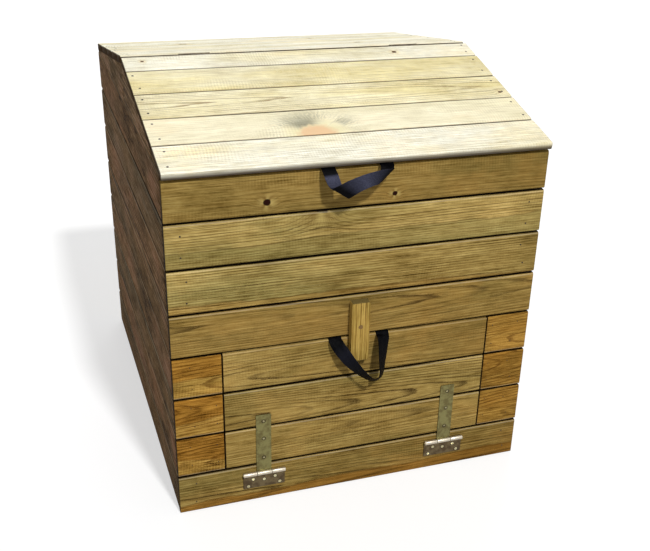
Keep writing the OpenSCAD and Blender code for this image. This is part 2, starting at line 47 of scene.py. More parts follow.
scene = bpy.context.scene


def addObject(name, data):
    made = bpy.data.objects.new(name, data)
    scene.collection.objects.link(made)
    return made


# Places that the CAD gives
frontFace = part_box("front_board_5")[0].y
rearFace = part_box("back_boards")[1].y
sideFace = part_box("front_board_5")[1].x
boardWide = 0.097
boardThick = 0.017
rowPitch = 0.1
ridge = {"y": 0.022, "z": 0.904}
lidAngle = math.radians(11.494)
rearAngle = math.radians(10.416)
fullTurn = 6.28318


# Camera

cameraSettings = {
    "place": (-0.68097, -2.28706, 1.49946),
    "turn": (61.0569, -2.7464, -20.4917),
    "lens": 57.10,
    "shiftX": -0.0968,
    "shiftY": 0.0819,
}

cameraData = bpy.data.cameras.new("camera")
cameraData.sensor_width = 36
cameraData.lens = cameraSettings["lens"]
cameraData.shift_x = cameraSettings["shiftX"]
cameraData.shift_y = cameraSettings["shiftY"]
cameraData.clip_end = 200
camera = addObject("camera", cameraData)
camera.location = cameraSettings["place"]
camera.rotation_euler = [math.radians(a) for a in cameraSettings["turn"]]
scene.camera = camera
print("camera set")


# Node helpers; each finds its tree from the sockets that it is given

def fill(socket, value):
    if isinstance(value, bpy.types.NodeSocket):
        value.id_data.links.new(value, socket)
    else:
        socket.default_value = value


def addNode(tree, kind, **settings):
    made = tree.nodes.new(kind)
    for key, value in settings.items():
        if key.startswith("in_"):
            key = key[3:]
            fill(made.inputs[int(key) if key.isdigit() else key], value)
        else:
            setattr(made, key, value)
    return made


def treeOf(values):
    return next(v.id_data for v in values if isinstance(v, bpy.types.NodeSocket))


def mathOf(operation):
    def addMath(*values, clamp=False):
        made = addNode(treeOf(values), "ShaderNodeMath", operation=operation, use_clamp=clamp)
        for socket, value in zip(made.inputs, values):
            fill(socket, value)
        return made.outputs[0]
    return addMath


plus, minus, times, over, timesPlus, lowest, highest, absolute, power, sine = [mathOf(name) for name in (
    "ADD", "SUBTRACT", "MULTIPLY", "DIVIDE", "MULTIPLY_ADD",
    "MINIMUM", "MAXIMUM", "ABSOLUTE", "POWER", "SINE")]


def vectorOf(operation, *values, output="Vector"):
    made = addNode(treeOf(values), "ShaderNodeVectorMath", operation=operation)
    for i, value in enumerate(values):
        fill(made.inputs["Scale" if operation == "SCALE" and i == 1 else i], value)
    return made.outputs[output]


def partsOf(vector):
    return addNode(vector.id_data, "ShaderNodeSeparateXYZ", in_0=vector).outputs


def joined(x, y, z):
    return addNode(treeOf((x, y, z)), "ShaderNodeCombineXYZ", in_0=x, in_1=y, in_2=z).outputs[0]


def rangeOf(value, fromLow, fromHigh, toLow=0.0, toHigh=1.0, smooth=True):
    made = addNode(value.id_data, "ShaderNodeMapRange",
                   interpolation_type="SMOOTHSTEP" if smooth else "LINEAR")
    for i, number in enumerate((value, fromLow, fromHigh, toLow, toHigh)):
        fill(made.inputs[i], number)
    return made.outputs["Result"]


def fallOf(value, fromLow, fromHigh):
    return rangeOf(value, fromLow, fromHigh, 1.0, 0.0)


def mixOf(amount, first, second, blend="MIX"):
    made = addNode(treeOf((amount, first, second)), "ShaderNodeMix", data_type="RGBA", blend_type=blend)
    for i, value in ((0, amount), (6, first), (7, second)):
        fill(made.inputs[i], value)
    return made.outputs[2]


def bumpOf(strength, distance, height):
    return addNode(height.id_data, "ShaderNodeBump", in_Strength=strength, in_Distance=distance,
                   in_Height=height).outputs[0]


def newGroup(name, vectors, colours, numbers, outputs):
    # numbers holds the start value of each
    group = bpy.data.node_groups.new(name, "ShaderNodeTree")
    for kind, labels in (("Vector", vectors), ("Color", colours), ("Float", numbers)):
        for label in labels:
            socket = group.interface.new_socket(label, in_out="INPUT", socket_type="NodeSocket" + kind)
            if kind == "Float":
                socket.default_value = numbers[label]
    for label in outputs:
        kind = {"Colour": "Color", "Normal": "Vector"}.get(label, "Float")
        group.interface.new_socket(label, in_out="OUTPUT", socket_type="NodeSocket" + kind)
    return group, group.nodes.new("NodeGroupInput").outputs, group.nodes.new("NodeGroupOutput").inputs


def linear(r, g, b):
    def one(v):
        v = v / 255
        return v / 12.92 if v <= 0.04045 else ((v + 0.055) / 1.055) ** 2.4
    return (one(r), one(g), one(b), 1.0)


def newMaterial(name):
    material = bpy.data.materials.new(name)
    material.use_nodes = True
    return material, material.node_tree, material.node_tree.nodes["Principled BSDF"]


def finishShader(shader, finish, shade=None):
    fill(shader.inputs["Base Color"], finish.outputs["Colour"] if shade is None else shade)
    for label in ("Roughness", "Normal"):
        fill(shader.inputs[label], finish.outputs[label])


shaderOutputs = ("Colour", "Roughness", "Normal")


# Grain: growth rings about a pith line beside or under the face, bent round two knots.
# Each noise has its stretch along, across and deep, its detail and its roughness
grainNoise = {
    "Wander": ((1.8, 7.0, 7.0), 2.0, 0.5), "Ragged": ((90.0, 90.0, 90.0), 2.0, 0.5),
    "Shake": ((7.0, 140.0, 140.0), 3.0, 0.5), "Fading": ((2.6, 30.0, 30.0), 2.0, 0.5),
    "Streaks": ((6.0, 240.0, 240.0), 4.0, 0.65), "Mottle": ((34.0, 75.0, 75.0), 3.0, 0.6),
    "Fibre": ((16.0, 620.0, 620.0), 3.0, 0.6), "Patches": ((2.4, 13.0, 13.0), 4.0, 0.55),
    "Cloud": ((5.5, 8.0, 8.0), 5.0, 0.65), "Saw Drift": ((6.0, 10.0, 10.0), 2.0, 0.5),
    "Saw Patches": ((4.0, 11.0, 11.0), 1.0, 0.5), "Checks": ((7.0, 300.0, 300.0), 2.0, 0.5),
}
# The hairs between a knot's rays, and where the pale wood round a swirl starts and ends: the angle from
# the board's length in radians, and how close it is in knot sizes
raySettings = {"hairs": 64.0, "hairStrength": 0.3, "gapRight": (0.72, 0.92), "gapLeft": (1.0, 1.75),
               "close": (1.5, 2.1), "closeEnd": (0.8, 0.95), "rightEnd": (0.36, 0.6),
               "leftEnd": (2.15, 2.75)}
sawSpacing = 0.0064


def makeGrainGroup():
    tree, start, end = newGroup(
        "pineGrain", ("Place", "Pith", "Knot A", "Knot B"), (),
        {"Seed": 0.0, "Ring Spacing": 0.0045, "Wander": 0.012, "Swirl": 0.0},
        ("Rings", "Streaks", "Fibre", "Patches", "Cloud", "Mottle", "Saw Marks", "Checks", "Knot Share",
         "Knot Rays"))
    place = start["Place"]
    chance = addNode(tree, "ShaderNodeTexWhiteNoise", noise_dimensions="1D", in_W=start["Seed"])
    moved = vectorOf("MULTIPLY_ADD", chance.outputs["Color"], (7.0, 7.0, 7.0), place)

    def noiseOf(name, output="Fac"):
        stretch, detail, rough = grainNoise[name]
        made = addNode(tree, "ShaderNodeTexNoise", in_Vector=vectorOf("MULTIPLY", moved, stretch),
                       in_Scale=1.0, in_Detail=detail, in_Roughness=rough)
        return made.outputs[output]

    wander = vectorOf("SUBTRACT", noiseOf("Wander", "Color"), (0.5, 0.5, 0.5))
    wander = vectorOf("SCALE", wander, start["Wander"])
    spot = partsOf(vectorOf("ADD", place, wander))
    pith = partsOf(start["Pith"])
    across = minus(spot[1], pith[0])
    deep = timesPlus(spot[0], pith[2], minus(spot[2], pith[1]))
    radius = vectorOf("LENGTH", joined(0.0, across, deep), output="Value")

    placeParts = partsOf(place)
    ragged = noiseOf("Ragged")
    shares, allRays = [], []
    for label in ("Knot A", "Knot B"):
        knot = partsOf(start[label])
        along = times(minus(placeParts[0], knot[0]), 0.9)
        side = minus(placeParts[1], knot[1])
        far = vectorOf("LENGTH", joined(along, side, 0.0), output="Value")
        size = highest(knot[2], 0.0005)
        share = over(far, size)
        push = times(power(times(share, 0.3), 2.0), -1.0)
        push = times(mathOf("EXPONENT")(push), times(size, 1.7))
        radius = plus(radius, push)
        shares.append(timesPlus(minus(ragged, 0.5), 0.6, share))
        # Rays that run out of a knot along, across and with fine hairs between
        turn = mathOf("ARCTAN2")(side, along)
        bent = sine(timesPlus(turn, 2.0, -2.862))
        bent = timesPlus(bent, 0.21, turn)
        rays = sine(timesPlus(bent, 2.0, 1.85))
        hairs = sine(timesPlus(turn, raySettings["hairs"], times(ragged, 14.0)))
        hairs = times(hairs, rangeOf(share, 1.5, 2.3, 0.0, raySettings["hairStrength"]))
        rays = timesPlus(absolute(rays), absolute(rays), hairs)
        lean = highest(mathOf("COSINE")(plus(turn, 0.2)), 0.0)
        rays = timesPlus(lean, 0.3, rays)
        # A swirl has a pale gap over its core and pale wood outside its two dark wings
        gap = lowest(rangeOf(turn, *raySettings["gapRight"]), fallOf(turn, *raySettings["gapLeft"]))
        close = times(fallOf(share, *raySettings["close"]), fallOf(turn, *raySettings["closeEnd"]))
        outside = highest(fallOf(turn, *raySettings["rightEnd"]), rangeOf(turn, *raySettings["leftEnd"]))
        pale = highest(highest(gap, close), outside)
        rays = timesPlus(minus(timesPlus(hairs, 1.5, pale), rays), start["Swirl"], rays)
        near = fallOf(share, 4.0, 8.0)
        allRays.append(times(rays, near))

    shaken = times(minus(noiseOf("Shake"), 0.5), 0.7)
    turns = plus(over(radius, start["Ring Spacing"]), shaken)
    phase = mathOf("FRACT")(turns)
    dark = times(rangeOf(phase, 0.58, 0.86), fallOf(phase, 0.92, 1.0))
    yearly = addNode(tree, "ShaderNodeTexWhiteNoise", noise_dimensions="1D", in_W=mathOf("FLOOR")(turns))
    fading = rangeOf(noiseOf("Fading"), 0.3, 0.6, 0.4, 1.0)
    fill(end["Rings"], times(times(dark, fading),
                             rangeOf(yearly.outputs["Value"], 0.0, 1.0, 0.4, 1.0, False)))
    for label in ("Streaks", "Mottle", "Fibre", "Patches", "Cloud"):
        fill(end[label], noiseOf(label))
    blade = timesPlus(placeParts[0], fullTurn / sawSpacing, times(noiseOf("Saw Drift"), 22.0))
    fill(end["Saw Marks"], times(sine(blade), rangeOf(noiseOf("Saw Patches"), 0.46, 0.66)))
    fill(end["Checks"], rangeOf(noiseOf("Checks"), 0.67, 0.74))
    fill(end["Knot Share"], lowest(*shares))
    fill(end["Knot Rays"], highest(*allRays))
    return tree


# Colours of treated pine from the grain's masks. Look holds tone, warmth and the seed, Band a border's
# height and how olive and amber the wood is under it, Figure the strength of rings, streaks and saw
# marks, and Rim the share of end grain and the painted shade in a groove; where negative, a painted
# highlight on the upper rounded edge
def makePineGroup(grain):
    tree, start, end = newGroup(
        "treatedPine", ("Place", "Pith", "Look", "Band", "Figure", "Rim", "Knot A", "Knot B"),
        ("Early", "Late", "Olive", "Amber", "Knot Colour", "Rim Colour", "Flare Colour", "Glow Colour",
         "Painted Groove Shade", "End Grain And Shade"),
        {"Ring Strength": 0.7, "Contrast": 1.0, "Glow": 0.3, "Saw": 0.05, "Glow Start": 1.0, "Glow End": 4.5,
         "Flare End": 3.6, "Ring Spacing": 0.0045, "Wander": 0.012, "Swirl": 0.0, "Relief": 0.3},
        shaderOutputs)
    look, edgeBand, figure, rim = [partsOf(start[label]) for label in ("Look", "Band", "Figure", "Rim")]
    field = addNode(tree, "ShaderNodeGroup", node_tree=grain)
    for label in ("Place", "Pith", "Knot A", "Knot B", "Ring Spacing", "Wander", "Swirl"):
        fill(field.inputs[label], start[label])
    fill(field.inputs["Seed"], look[2])
    rings, streaks, fibre, patches, cloud, mottle, saw, share, rays = [field.outputs[label] for label in (
        "Rings", "Streaks", "Fibre", "Patches", "Cloud", "Mottle", "Saw Marks", "Knot Share", "Knot Rays")]
    saw = times(saw, figure[2])

    # Broad colour: early wood, olive and amber drifts, and the border of a band
    olive = minus(rangeOf(patches, 0.36, 0.7, -0.15, 0.85), look[1])
    amber = plus(rangeOf(cloud, 0.42, 0.66, -0.1, 0.55), look[1])
    shade = mixOf(times(olive, 0.75, clamp=True), start["Early"], start["Olive"])
    shade = mixOf(times(amber, 0.6, clamp=True), shade, start["Amber"])
    border = timesPlus(minus(cloud, 0.5), 0.03, partsOf(start["Place"])[1])
    band = minus(edgeBand[0], border)
    under = rangeOf(band, -0.001, 0.002)
    shade = mixOf(times(under, edgeBand[1]), shade, start["Olive"])
    shade = mixOf(times(under, edgeBand[2]), shade, start["Amber"])
    edgeLine = times(rangeOf(band, -0.002, 0.0), fallOf(band, 0.0, 0.004))
    lateMask = highest(times(rings, figure[0]), times(edgeLine, 0.5))
    shade = mixOf(times(lateMask, start["Ring Strength"], clamp=True), shade, start["Late"])
    checks = times(field.outputs["Checks"], figure[1])
    shade = mixOf(times(checks, 0.4, clamp=True), shade, start["Late"])

    # Light and dark: streaks, fibres, saw marks and slow drifts, about the board's own tone
    swing = times(minus(streaks, 0.5), 0.8)
    swing = timesPlus(minus(fibre, 0.5), 1.5, swing)
    swing = times(swing, figure[1])
    swing = timesPlus(minus(cloud, 0.5), 1.0, swing)
    swing = timesPlus(minus(mottle, 0.5), 0.5, swing)
    swing = timesPlus(saw, start["Saw"], swing)
    swing = timesPlus(swing, start["Contrast"], 1.0)
    level = times(swing, look[0])
    level = highest(level, 0.05)
    shade = mixOf(1.0, shade, joined(power(level, 0.88), level, power(level, 1.3)), "MULTIPLY")

    # Knots: a drift of colour round them, pale rays, the dark core and its rim
    glow = times(rangeOf(share, 0.0, start["Glow Start"]),
                 fallOf(share, start["Glow Start"], start["Glow End"]))
    glow = times(glow, minus(1.0, rays, clamp=True))
    shade = mixOf(times(glow, start["Glow"]), shade, start["Glow Colour"])
    flare = times(rays, rangeOf(share, 1.0, start["Flare End"], 0.6, 0.0), clamp=True)
    shade = mixOf(flare, shade, start["Flare Colour"])
    core = fallOf(share, 0.84, 1.06)
    shade = mixOf(core, shade, start["Knot Colour"])
    ring = times(rangeOf(share, 0.7, 1.0, 0.0, 0.8), fallOf(share, 1.0, 1.25))
    shade = mixOf(ring, shade, start["Rim Colour"])

    # End grain, darkened partly as painted shade; a painted highlight on the upper rounded edges; painted
    # shade in the grooves between boards
    # End grain is darker wood, and darker still as painted shade, most of all on the pale roof
    shade = mixOf(times(rim[0], 0.9), shade, start["End Grain And Shade"])
    # A painted highlight: the upper rounded edge is mixed towards a pale colour
    wearAndHighlight = mixOf(0.35, shade, linear(236, 222, 190))
    shade = mixOf(times(rim[1], -1.0, clamp=True), shade, wearAndHighlight)
    # Painted shade in the grooves between boards
    shade = mixOf(times(rim[1], 1.0, clamp=True), shade, start["Painted Groove Shade"])
    fill(end["Colour"], shade)
    gloss = rangeOf(rings, 0.0, 1.0, 0.8, 0.66, False)
    fill(end["Roughness"], plus(gloss, rangeOf(streaks, 0.3, 0.7, 0.07, -0.07, False)))
    height = timesPlus(rings, 0.5, times(fibre, 0.7))
    height = timesPlus(saw, 0.18, timesPlus(streaks, 0.6, height))
    height = minus(height, times(checks, 0.7))
    height = timesPlus(core, 0.5, height)
    fill(end["Normal"], bumpOf(start["Relief"], 0.0008, height))
    return tree


treatedPine = makePineGroup(makeGrainGroup())

darkKnot = {
    "Knot Colour": (40, 18, 13), "Rim Colour": (16, 9, 8), "Flare Colour": (196, 172, 104),
    "Glow Colour": (116, 88, 44), "Glow": 0.55,
}
# Early and late wood, olive and amber drifts, painted groove shade, end grain darkened partly as painted
# shade;
# strength and spacing of the rings, relief, contrast, saw marks; and what else a wood has of its own
woodLabels = ("Early", "Late", "Olive", "Amber", "Painted Groove Shade", "End Grain And Shade", "Ring Strength",
              "Ring Spacing", "Relief", "Contrast", "Saw")
woodColours = {
    "frontPine": (
        (178, 150, 86), (52, 32, 12), (134, 120, 66), (160, 114, 46), (12, 8, 5), (84, 64, 34),
        0.75, 0.0052, 0.6, 1.7, 0.05, {}),
    "stubPine": (
        (182, 143, 70), (84, 46, 8), (156, 130, 64), (154, 98, 20), (14, 9, 4), (84, 60, 28),
        0.75, 0.007, 0.6, 2.2, 0.05, {}),
    # The side wood is darker than the front's, partly as painted shade
    "sidePine": (
        (138, 110, 76), (40, 24, 16), (102, 94, 76), (128, 80, 54), (10, 6, 4), (72, 52, 32),
        0.9, 0.009, 0.5, 3.8, 0.04, {}),
    # The roof wood is paler than the walls', partly its own colour and partly painted light from above
    "roofPine": (
        (254, 251, 232), (132, 98, 44), (238, 224, 168), (232, 208, 144), (58, 40, 20), (70, 50, 28),
        0.6, 0.006, 0.45, 1.0, 0.07,
        {"Knot Colour": (98, 64, 40), "Flare Colour": (244, 230, 184), "Glow Colour": (196, 164, 108)}),
    "swirlPine": (
        (252, 244, 212), (150, 122, 68), (238, 228, 188), (238, 210, 156), (58, 40, 20), (70, 50, 28),
        0.4, 0.006, 0.45, 0.7, 0.1,
        {"Knot Colour": (240, 204, 160), "Rim Colour": (240, 218, 174), "Flare Colour": (244, 234, 184),
         "Glow Colour": (104, 106, 90), "Glow": 0.7, "Glow Start": 1.3, "Glow End": 3.3, "Flare End": 2.2,
         "Swirl": 1.0}),
    "framePine": (
        (158, 132, 88), (84, 58, 28), (120, 106, 66), (142, 104, 54), (22, 15, 8), (96, 72, 42),
        0.75, 0.005, 0.6, 1.0, 0.1, {}),
    "buttonPine": (
        (178, 148, 76), (84, 52, 16), (148, 126, 62), (156, 112, 46), (60, 40, 20), (96, 84, 50),
        0.8, 0.004, 0.5, 1.6, 0.02, {"Wander": 0.006}),
}

boardAttributes = {"Place": "boardPlace", "Pith": "boardPith", "Look": "boardLook", "Band": "boardBand",
                   "Figure": "boardFigure", "Rim": "boardRim", "Knot A": "knotA", "Knot B": "knotB"}


def makeWood(name):
    material, tree, shader = newMaterial(name)
    pine = addNode(tree, "ShaderNodeGroup", node_tree=treatedPine)
    *common, own = woodColours[name]
    for label, value in {**dict(zip(woodLabels, common)), **darkKnot, **own}.items():
        pine.inputs[label].default_value = linear(*value) if isinstance(value, tuple) else value
    for label, attribute in boardAttributes.items():
        made = addNode(tree, "ShaderNodeAttribute", attribute_name=attribute)
        fill(pine.inputs[label], made.outputs["Vector"])
    finishShader(shader, pine)
    shader.inputs["Specular IOR Level"].default_value = 0.02
    return material


# The turn button is the frame's own node, so its wood reads object coordinates, with the grain upright
def makeButtonWood(middle, halfHeight):
    material = makeWood("buttonPine")
    tree = material.node_tree
    pine = next(n for n in tree.nodes if n.bl_idname == "ShaderNodeGroup")
    for made in [n for n in tree.nodes if n.bl_idname == "ShaderNodeAttribute"]:
        tree.nodes.remove(made)
    coordinates = addNode(tree, "ShaderNodeTexCoord").outputs["Object"]
    centred = addNode(tree, "ShaderNodeMapping", in_Vector=coordinates, in_Location=-middle)
    parts = partsOf(centred.outputs[0])
    fill(pine.inputs["Place"], joined(parts[2], parts[0], times(parts[1], -1.0)))
    atEnd = rangeOf(absolute(parts[2]), halfHeight - 0.0022, halfHeight - 0.0004)
    fill(pine.inputs["Rim"], joined(atEnd, 0.0, 0.0))
    fixed = {"Pith": (-0.05, -0.03, 0.0), "Look": (1.0, 0.0, 4.0), "Band": (-9, 0, 0), "Figure": (1, 1, 1),
             "Knot A": (9, 9, 0), "Knot B": (9, 9, 0)}
    for label, value in fixed.items():
        pine.inputs[label].default_value = value
    return material


woods = {name: makeWood(name) for name in woodColours if name != "buttonPine"}
buttonLow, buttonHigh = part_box("turn_button")
woods["buttonPine"] = makeButtonWood((buttonLow + buttonHigh) / 2, (buttonHigh.z - buttonLow.z) / 2)
print("wood materials made")


# Finishing a mesh as a piece of the object

def finishPiece(name, bm, body, material, nodes=(), sharp=35):
    mesh = bpy.data.meshes.new(name)
    bm.to_mesh(mesh)
    bm.free()
    mesh.materials.append(material)
    for face in mesh.polygons:
        face.use_smooth = True
    mesh.set_sharp_from_angle(angle=math.radians(sharp))
    made = addObject(name, mesh)
    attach(made, body)
    if nodes:
        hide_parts(*nodes)
    return made


# Boards

boardSettings = {
    "rounding": 0.005, "roundingSteps": 5, "endRounding": 0.0008, "lengthCuts": 20, "wave": 0.0003,
    "grooveStart": 0.0013, "grooveFade": 0.0018, "edgeHighlight": 0.5,
}


def setBoardLayers(part, placeOf, look, edgeOf):
    # look holds seed, tone, warm, band, figure, pith and knots; tone, warm and the height of the band
    # may be pairs, for the left and the right end
    layers = {key: part.verts.layers.float_vector.new(name) for key, name in boardAttributes.items()}
    draw = random.Random(int(look["seed"] * 100))
    pith = look.get("pith", (draw.choice((-1, 1)) * draw.uniform(0.02, 0.11), draw.uniform(-0.07, -0.02),
                             draw.uniform(-0.035, 0.035)))
    knots = (list(look.get("knots", ())) + [(9.0, 9.0, 0.0)] * 2)[:2]
    height, olive, amber = look.get("band", (-9.0, 0.0, 0.0))
    ends = max(abs(placeOf(v).x) for v in part.verts)

    def valueAt(setting, share):
        atLeft, atRight = setting if isinstance(setting, tuple) else (setting, setting)
        return atLeft + (atRight - atLeft) * share

    for v in part.verts:
        place = placeOf(v)
        share = place.x / ends * 0.5 + 0.5
        values = {
            "Place": place, "Pith": pith, "Band": (valueAt(height, share), olive, amber),
            "Look": (valueAt(look.get("tone", 1.0), share), valueAt(look.get("warm", 0.0), share),
                     look["seed"]),
            "Figure": look.get("figure", (1.0, 1.0, 1.0)), "Rim": (*edgeOf(v), 0.0),
            "Knot A": knots[0], "Knot B": knots[1],
        }
        for key, value in values.items():
            v[layers[key]] = Vector(value)


def bevelEdges(bm, edges, offset, segments):
    bmesh.ops.bevel(bm, geom=edges, offset=offset, segments=segments, affect="EDGES", profile=0.5,
                    material=-1)


def vertsOf(made):
    return [g for g in made["geom"] if isinstance(g, bmesh.types.BMVert)]


def joinMesh(bm, part):
    copied = bpy.data.meshes.new("part")
    part.to_mesh(copied)
    part.free()
    bm.from_mesh(copied)
    bpy.data.meshes.remove(copied)


def seatPart(bm, part, place, out, lift, turn=0.0):
    # Turns the part's Z outwards, lifts it that way from its place and joins it to the mesh
    facing = Vector(out).normalized()
    spin = facing.to_track_quat("Z", "Y").to_matrix().to_4x4() @ Matrix.Rotation(turn, 4, "Z")
    spin.translation = Vector(place) + facing * lift
    bmesh.ops.transform(part, matrix=spin, verts=part.verts)
    joinMesh(bm, part)


def addBoard(bm, size, turn, middle, look, grooves=(1, 1), rounding=None, wave=None):
    # size is length, width and thickness; turn holds the directions of the three;
    # grooves says how much painted shade darkens the gaps at the low and high long side, and may be a pair
    # of that and its fade
    length, width, thick = size
    rounding = boardSettings["rounding"] if rounding is None else rounding
    wave = boardSettings["wave"] if wave is None else wave
    part = bmesh.new()
    bmesh.ops.create_cube(part, size=1.0)
    bmesh.ops.scale(part, vec=(length, width, thick), verts=part.verts)

    def longEdges():
        return [e for e in part.edges if abs(e.verts[0].co.x - e.verts[1].co.x) > length / 2]

    bevelEdges(part, longEdges(), rounding, boardSettings["roundingSteps"])
    rims = [e for e in part.edges
            if all(abs(abs(v.co.x) - length / 2) < 1e-6 for v in e.verts)
            and any(abs(f.normal.x) < 0.5 for f in e.link_faces)]
    bevelEdges(part, rims, boardSettings["endRounding"], 2)
    bmesh.ops.subdivide_edges(part, edges=longEdges(), cuts=boardSettings["lengthCuts"], use_grid_fill=True)

    def edgeOf(v):
        end = 1.0 if abs(v.co.x) > length / 2 - boardSettings["endRounding"] * 0.6 else 0.0
        nearSide = abs(v.co.y) > width / 2 - rounding - 0.0001
        depth = thick / 2 - v.co.z
        if not nearSide:
            return end, 0.0
        groove = grooves[1 if v.co.y > 0 else 0]
        strength, fade = groove if isinstance(groove, tuple) else (groove, boardSettings["grooveFade"])
        # Painted shade in the gap, deepening with the depth below the face
        dark = min(1.0, max(0.0, (depth - boardSettings["grooveStart"]) / fade))
        # The upper rounded edge gets a painted highlight
        atEdge = v.co.y > 0 and 0.0001 < depth <= boardSettings["grooveStart"]
        return end, (dark - (boardSettings["edgeHighlight"] if atEdge else 0.0)) * strength

    setBoardLayers(part, lambda v: v.co.copy(), look, edgeOf)
    for v in part.verts:
        along = v.co.x * 6.0 + look["seed"] * 3.1
        v.co.y += wave * (math.sin(along) * 0.6 + math.sin(along * 2.3 + 1.0) * 0.4)
        v.co.z += wave * 0.5 * math.sin(along * 1.4 + 2.0)
    along, across, out = [Vector(d).normalized() for d in turn]
    spin = Matrix((along, across, out)).transposed().to_4x4()
    spin.translation = Vector(middle)
    bmesh.ops.transform(part, matrix=spin, verts=part.verts)
    if spin.determinant() < 0:
        bmesh.ops.reverse_faces(part, faces=part.faces)
    joinMesh(bm, part)


right, back, up = (1, 0, 0), (0, 1, 0), (0, 0, 1)
left, front, down = (-1, 0, 0), (0, -1, 0), (0, 0, -1)


def middleOf(low, high):
    return (low + high) / 2


def bothSides(x):
    return (-x, x)


def finishWood(node, bm, body, wood):
    finishPiece("shown_" + node, bm, body, woods[wood], [node])


def boardFromBox(node, turn, body, wood, look, grooves=(1, 1), rounding=None, wave=None):
    low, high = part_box(node)
    span = high - low
    size = [abs(Vector(d).dot(span)) for d in turn]
    bm = bmesh.new()
    addBoard(bm, size, turn, middleOf(low, high), look, grooves, rounding, wave)
    finishWood(node, bm, body, wood)


# Pairs are values at the left and right end; pith is across, depth and tilt; band is its height, olive and
# amber; figure is rings, streaks and saw marks
wallBoards = {
    "front_board_1": {"seed": 11.0, "tone": (0.82, 0.54), "warm": (-0.05, 0.1),
                      "pith": (-0.03, -0.03, 0.02), "band": ((-0.03, -0.014), 0.0, 0.8),
                      "figure": (1.2, 1.0, 0.8)},
    "front_board_5": {"seed": 15.0, "tone": (0.72, 0.74), "warm": (0.1, 0.15), "pith": (0.02, -0.022, 0.03),
                      "figure": (1.2, 0.9, 0.4)},
    "front_board_6": {"seed": 16.0, "tone": (1.2, 0.82), "warm": (-0.3, -0.25),
                      "pith": (-0.12, -0.05, 0.01), "figure": (1.3, 0.9, 0.5),
                      "band": ((-0.03, -0.042), 0.0, 0.35)},
    "front_board_7": {"seed": 17.0, "tone": (1.12, 1.05), "warm": (-0.3, -0.25),
                      "band": ((-0.012, 0.002), 0.55, 0.0), "pith": (0.085, -0.03, 0.01),
                      "knots": [(-0.092, 0.062, 0.016)], "figure": (1.1, 0.9, 0.8)},
    "front_board_8": {"seed": 18.0, "tone": (0.78, 0.62), "warm": (0.0, 0.05), "pith": (-0.09, -0.05, 0.0),
                      "knots": [(-0.207, -0.016, 0.0062), (0.0625, -0.022, 0.0045)],
                      "figure": (0.6, 0.7, 1.0)},
    "hatch_board_1": {"seed": 21.0, "tone": (0.8, 0.78), "warm": 0.05, "pith": (0.02, -0.022, 0.03),
                      "figure": (0.8, 0.9, 0.8)},
    "hatch_board_2": {"seed": 22.0, "tone": (0.72, 0.88), "warm": -0.2, "pith": (-0.02, -0.022, 0.045),
                      "figure": (1.3, 0.8, 0.6)},
    "hatch_board_3": {"seed": 23.0, "tone": (0.95, 0.6), "warm": (0.05, 0.15),
                      "pith": (-0.02, -0.022, -0.03), "figure": (1.2, 0.8, 0.6)},
}
outerGrooves = {"front_board_1": (0, 1), "front_board_8": (1, 0), "hatch_board_1": (0.6, 1),
                "hatch_board_3": (1, 0.6)}
for node, look in wallBoards.items():
    boardFromBox(node, (right, up, front), "hatch" if "hatch" in node else "base", "frontPine",
                 look, outerGrooves.get(node, (1, 1)))

rowTones = (1.0, 1.05, 0.84, 1.0, 0.9, 1.08, 0.86, 0.95)
# The side boards' tone is lowered, partly as painted shade
for i in range(7):
    boardFromBox("left_board_%d" % (i + 1), (front, up, left), "base", "sidePine",
                 {"seed": 31.0 + i, "tone": rowTones[i] * 0.9, "warm": (0.0, 0.3, -0.2, 0.2)[i % 4],
                  "figure": (1.4, 0.7, 1.0)}, (1 if i else 0, 1))


def addRow(bm, node, row, turn, look, grooves=(1, 1)):
    # One board of a node that holds several rows
    low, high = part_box(node)
    centre = middleOf(low, high)
    centre.z = rowPitch * row + boardWide / 2
    length = abs(Vector(turn[0]).dot(high - low))
    addBoard(bm, (length, boardWide, boardThick), turn, centre, look, grooves)


# Short boards beside the hatch, which lie the other way up, so the amber under their border is at the top
stubBorders = ((0.016, 0.0), (0.0, 0.012), (-0.002, 0.004))
stubTones = {"front_stubs_left": (0.96, 0.95, 0.98), "front_stubs_right": (0.71, 0.64, 0.79)}
for node, tones in stubTones.items():
    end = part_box(node)[1].x
    bm = bmesh.new()
    for i, tone in enumerate(tones):
        addRow(bm, node, i + 1, (left, down, front),
               {"seed": 41.0 + i * 2 + end * 5, "tone": tone, "warm": (0.1, 0.2, 0.0)[i],
                "band": (stubBorders[i], 0.0, 0.56 if end < 0 else 0.15),
                "pith": ((0.02, -0.02)[i % 2], -0.02, (0.12, -0.16, 0.1)[i]), "figure": (1.2, 1.0, 1.0)})
    finishWood(node, bm, "base", "stubPine")

# Back wall
bm = bmesh.new()
for i in range(8):
    knot = ((-0.21, 0.14, 0.27, -0.05)[i % 4], (0.01, -0.02)[i % 2], (0.006, 0.0, 0.008)[i % 3])
    addRow(bm, "back_boards", i, (left, up, back),
           {"seed": 51.0 + i, "tone": rowTones[i] * 1.02, "warm": (0.1, -0.1, 0.2, 0.0)[i % 4],
            "knots": [knot]}, (1 if i else 0, 1))
finishWood("back_boards", bm, "base", "frontPine")


# The top board of each side is bevelled at its front end, where the lid's underside comes down
lidGap = 0.0004


def cutUnderLid(bm):
    normal = Vector((0, -math.sin(lidAngle), math.cos(lidAngle)))
    point = Vector((0, ridge["y"], ridge["z"])) - normal * (boardThick + lidGap)
    cut = bmesh.ops.bisect_plane(bm, geom=bm.verts[:] + bm.edges[:] + bm.faces[:], plane_co=point,
                                 plane_no=normal, clear_outer=True)
    edges = [e for e in cut["geom_cut"] if isinstance(e, bmesh.types.BMEdge)]
    bmesh.ops.holes_fill(bm, edges=edges)


